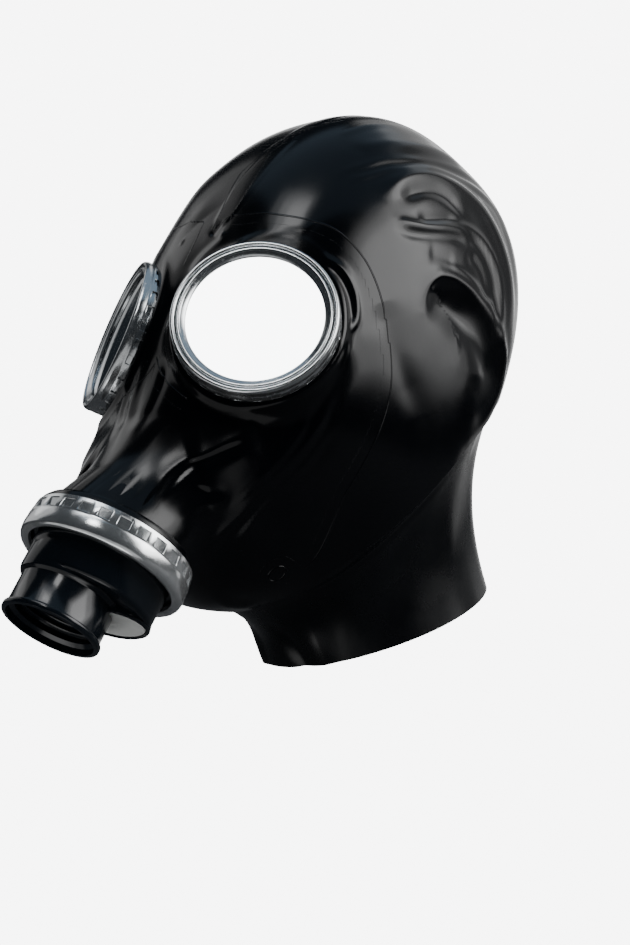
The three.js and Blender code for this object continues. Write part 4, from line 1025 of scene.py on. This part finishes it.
# %% Eye retainers and panes
RETAINER_PROFILE = [(35.7, -5.3), (37.8, -5.3), (37.8, -1.7), (37.6, -1.1), (37.2, -0.75),
    (36.7, -0.62), (36.2, -0.8), (35.8, -1.2), (35.45, -1.35), (34.6, -1.75), (33.9, -2.3),
    (33.5, -2.75), (33.5, -3.0), (35.7, -3.0)]
retainer = turned("retainer", RETAINER_PROFILE, 160)
smooth(retainer, 38)
PANE_RADIUS = 35.4
pane = turned("pane", [(PANE_RADIUS - 0.3, -5.3), (PANE_RADIUS, -5.0), (PANE_RADIUS, -3.6),
    (PANE_RADIUS - 0.3, -3.3), (24.0, -3.3), (10.0, -3.3)], 128, closed=False)
smooth(pane, 30)
for side, axis in eye_axes.items():
    ring = set_on(copy_of(retainer, f"eye_ring_{side}"), axis)
    finish_piece(ring, plated_steel, "plated_steel", f"eye_retainer_{side}")
    glass = set_on(copy_of(pane, f"eye_pane_{side}"), axis)
    finish_piece(glass, pane_mirror, "pane", f"lens_{side}")
for spare in (retainer, pane):
    bpy.data.objects.remove(spare)

# %% [markdown]
# ## Mouth ring
# A heavier zinc-plated ring: a lip turned in over the rubber, a rounded band and a row of
# pressed windows near its back edge.

# %% Mouth ring
MOUTH_WINDOWS, WINDOW_STEPS = 26, 8
MOUTH_PROFILE = [(37.2, -3.5), (40.5, -3.5), (40.5, -17.0), (41.0, -17.0), (41.2, -16.8),
    (41.45, -15.0), (42.25, -10.0), (42.0, -9.4), (42.15, -8.6), (42.35, -6.8), (42.4, -4.8),
    (42.3, -3.2), (42.0, -1.9), (41.4, -0.8), (40.6, -0.2), (39.7, 0.0), (38.7, -0.05),
    (37.9, -0.35), (37.35, -0.95), (37.2, -1.8)]
mouth_ring = turned("mouth_band", MOUTH_PROFILE, MOUTH_WINDOWS * WINDOW_STEPS)
press_in(mouth_ring, lambda f: in_recess(f, -15.0, -10.0, MOUTH_WINDOWS, WINDOW_STEPS, 5, 41.5),
         0.45, 1.1)
soften(mouth_ring, 0.2, 1, 50)
smooth(mouth_ring, 35)
set_on(mouth_ring, mouth_axis)
finish_piece(mouth_ring, zinc_steel, "zinc_steel", "mouth_ring")

# %% [markdown]
# ## Valve box
# One glossy plastic moulding: a round drum, a threaded socket for a hose or can, and a slanted
# outlet. The drum and socket are turned, the outlet is a second turned piece, and booleans join
# them and open them up.

# %% Valve box
SOCKET_OFFSET = 9.0
socket_axis = Axis(mouth_axis.origin + mouth_front * SOCKET_OFFSET, mouth_axis.out)
port_yaw, port_dip = math.radians(17), math.radians(65)
PORT_FORWARD, PORT_BACKSET, PORT_SIDEWAYS = 20, 14.7, np.array([8.6, 0, 0])
port_place = mouth_axis.origin + mouth_axis.out * PORT_FORWARD - mouth_front * PORT_BACKSET
port_axis = Axis(port_place + PORT_SIDEWAYS, heading(port_yaw, -port_dip))


def combine(obj, other, operation):
    """Joins, cuts or meets two solids, and removes the second one."""
    alone(obj)
    modifier = obj.modifiers.new("combine", "BOOLEAN")
    modifier.operation = operation
    modifier.solver = "EXACT"
    modifier.object = other
    bpy.ops.object.modifier_apply(modifier=modifier.name)
    bpy.data.objects.remove(other)


valve = turned("valve_box", [(37.6, -15), (37.9, -14.7), (37.9, -5.4), (37.5, -5.0), (34.6, -5.0),
    (34.4, -4.6), (34.4, 1.6), (34.0, 2.2), (34.0, 13.6), (33.7, 14.7), (33.1, 15.5), (32.2, 16.0)],
    128, closed=False)
set_on(valve, mouth_axis)
socket = turned("socket", [(20, 4), (25.6, 4), (25.6, 17.0), (25.2, 17.7), (24.4, 18.1),
    (23.8, 18.8), (23.8, 34.4), (24.1, 34.9), (24.9, 35.2), (25.2, 35.8), (25.2, 37.3),
    (24.9, 37.8), (24.4, 38.0)], 128, closed=False)
set_on(socket, socket_axis)
combine(valve, socket, "UNION")
port = turned("port", [(15, -17), (18.3, -17), (18.3, -1.0), (18.0, -0.3), (17.5, 0.0)],
    96, closed=False)
set_on(port, port_axis)
combine(valve, port, "UNION")
hollow = turned("hollow", [(31, -17), (31, 12.2), (30.2, 13.0)], 96, closed=False)
set_on(hollow, mouth_axis)
combine(valve, hollow, "DIFFERENCE")
thread = [(20.6, 11)]
for k in range(5):
    start = 15.5 + 3.2 * k
    thread += [(20.6, start), (22.2, start + 1.3), (22.2, start + 1.9)]
thread += [(20.6, 33.0), (22.6, 34.6), (22.8, 40)]
bore = turned("bore", thread, 96, closed=False)
set_on(bore, socket_axis)
combine(valve, bore, "DIFFERENCE")
counterbore = turned("counterbore", [(16.3, -2.6), (16.3, -0.6), (16.9, 1)], 96, closed=False)
set_on(counterbore, port_axis)
combine(valve, counterbore, "DIFFERENCE")
duct = turned("duct", [(11, -20), (11, 0)], 64, closed=False)
set_on(duct, port_axis)
combine(valve, duct, "DIFFERENCE")
smooth(valve, 34)
finish_piece(valve, black_plastic, "black_plastic", "valve_body")

# %% Exhale disc
disc = turned("outlet_disc", [(15.6, -2.3), (16.0, -2.0), (16.0, -1.0), (15.7, -0.75), (14.0, -0.7),
    (3.2, -0.7), (2.6, -1.2), (0.9, -1.25)], 96, closed=False)
smooth(disc, 32)
set_on(disc, port_axis)
finish_piece(disc, pale_rubber, "pale_rubber", "exhale_disc")
